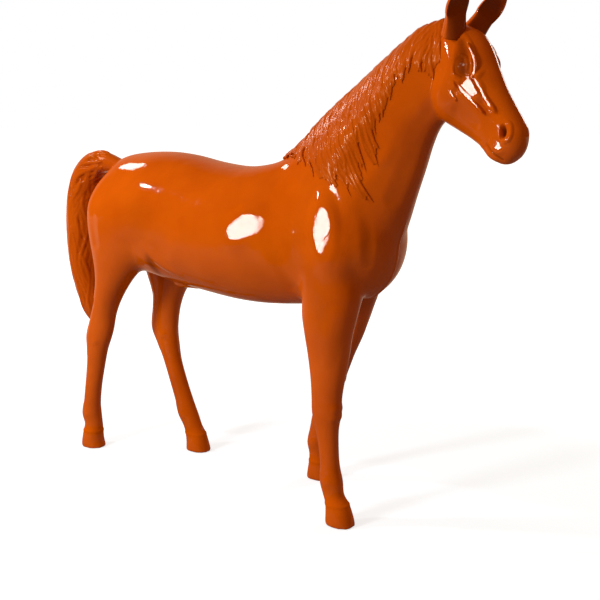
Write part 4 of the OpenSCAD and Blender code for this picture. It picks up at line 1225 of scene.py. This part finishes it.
def floor():
    """A pale floor: white to the camera far away and a shade less near by, to keep the shadow.

    Behind the horse it is bright in reflections too, as part of the backdrop.
    """
    half = FLOOR_HALF
    points = [(-half, -half, 0), (half, -half, 0), (half, half, 0), (-half, half, 0)]
    obj = new_object("floor", new_mesh("floor", points, [(0, 1, 2, 3)]))
    obj.location.z = -FLOOR_DROP
    material, tree, shader = new_material("floor")
    place = add_node(tree, "TexCoord").outputs["Object"]
    ray = add_node(tree, "LightPath").outputs
    distance = add_node(tree, "VectorMath", {0: place}, operation="LENGTH").outputs["Value"]
    far = spread(tree, distance, FLOOR_FADE, FLOOR_GLOW)
    behind = spread(tree, facing_share(tree, place, BACKDROP), FLOOR_BEHIND, FLOOR_MIRRORED)
    mirrored = calculated(tree, "MULTIPLY", ray["Is Glossy Ray"], behind)
    set_sockets(tree, shader, {
        "Base Color": ramp(tree, ray["Is Camera Ray"], FLOOR_UNSEEN, FLOOR_SEEN),
        "Roughness": FLOOR_ROUGH,
        "Specular IOR Level": 0,
        "Emission Color": ramp(tree, ray["Is Camera Ray"], FLOOR_TINT, WHITE),
        "Emission Strength": calculated(tree, "MULTIPLY_ADD", ray["Is Camera Ray"], far, mirrored),
    })
    obj.data.materials.append(material)


def world():
    """A dim warm room with a pale backdrop behind the horse, which shows in its reflections."""
    data = bpy.data.worlds.new("studio")
    bpy.context.scene.world = data
    data.use_nodes = True
    tree = data.node_tree
    place = add_node(tree, "TexCoord").outputs["Generated"]
    ray = add_node(tree, "LightPath").outputs
    backdrop = ramp(tree, facing_share(tree, place, BACKDROP), ROOM_COLOUR, BACKDROP_COLOUR, BACKDROP_EDGE)
    ahead = spread(tree, facing_share(tree, place, FILL), (-1, 1), (0, 1))
    fill = ramp(tree, ahead, FILL_LOW, FILL_HIGH)
    mirrored = mixed(tree, ray["Is Glossy Ray"], fill, backdrop)
    seen = mixed(tree, ray["Is Camera Ray"], mirrored, (*WHITE, 1))
    tree.links.new(seen, tree.nodes["Background"].inputs["Color"])


def dress(obj, node, material):
    obj.data.materials.clear()
    obj.data.materials.append(material)
    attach(obj, "root")
    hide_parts(node)


bpy.context.scene.view_settings.view_transform = "Standard"
gelcoat = gelcoat_material("orange_gelcoat", *SKIN_FINISH)
hair_gelcoat = gelcoat_material("hair_gelcoat", *HAIR_FINISH)
skin = base_skin()
carve_skin(skin)
for form, halves in skin_pieces(skin):
    for node_name, half in zip((form + "_right", form + "_left"), halves):
        dress(piece_object(node_name, half), node_name, gelcoat)
for node_name, ear_side in (("ear_right", RIGHT), ("ear_left", LEFT)):
    dress(ear_object(node_name, ear_side), node_name, gelcoat)
dress(hair_object("mane", mane_shapes(skin_tree(skin)), MANE_VOXEL), "mane", hair_gelcoat)
dress(hair_object("tail", tail_shapes(), TAIL_VOXEL), "tail", hair_gelcoat)
paint_inner_nodes()
camera()
floor()
world()
for light in LIGHTS:
    area_light(*light)
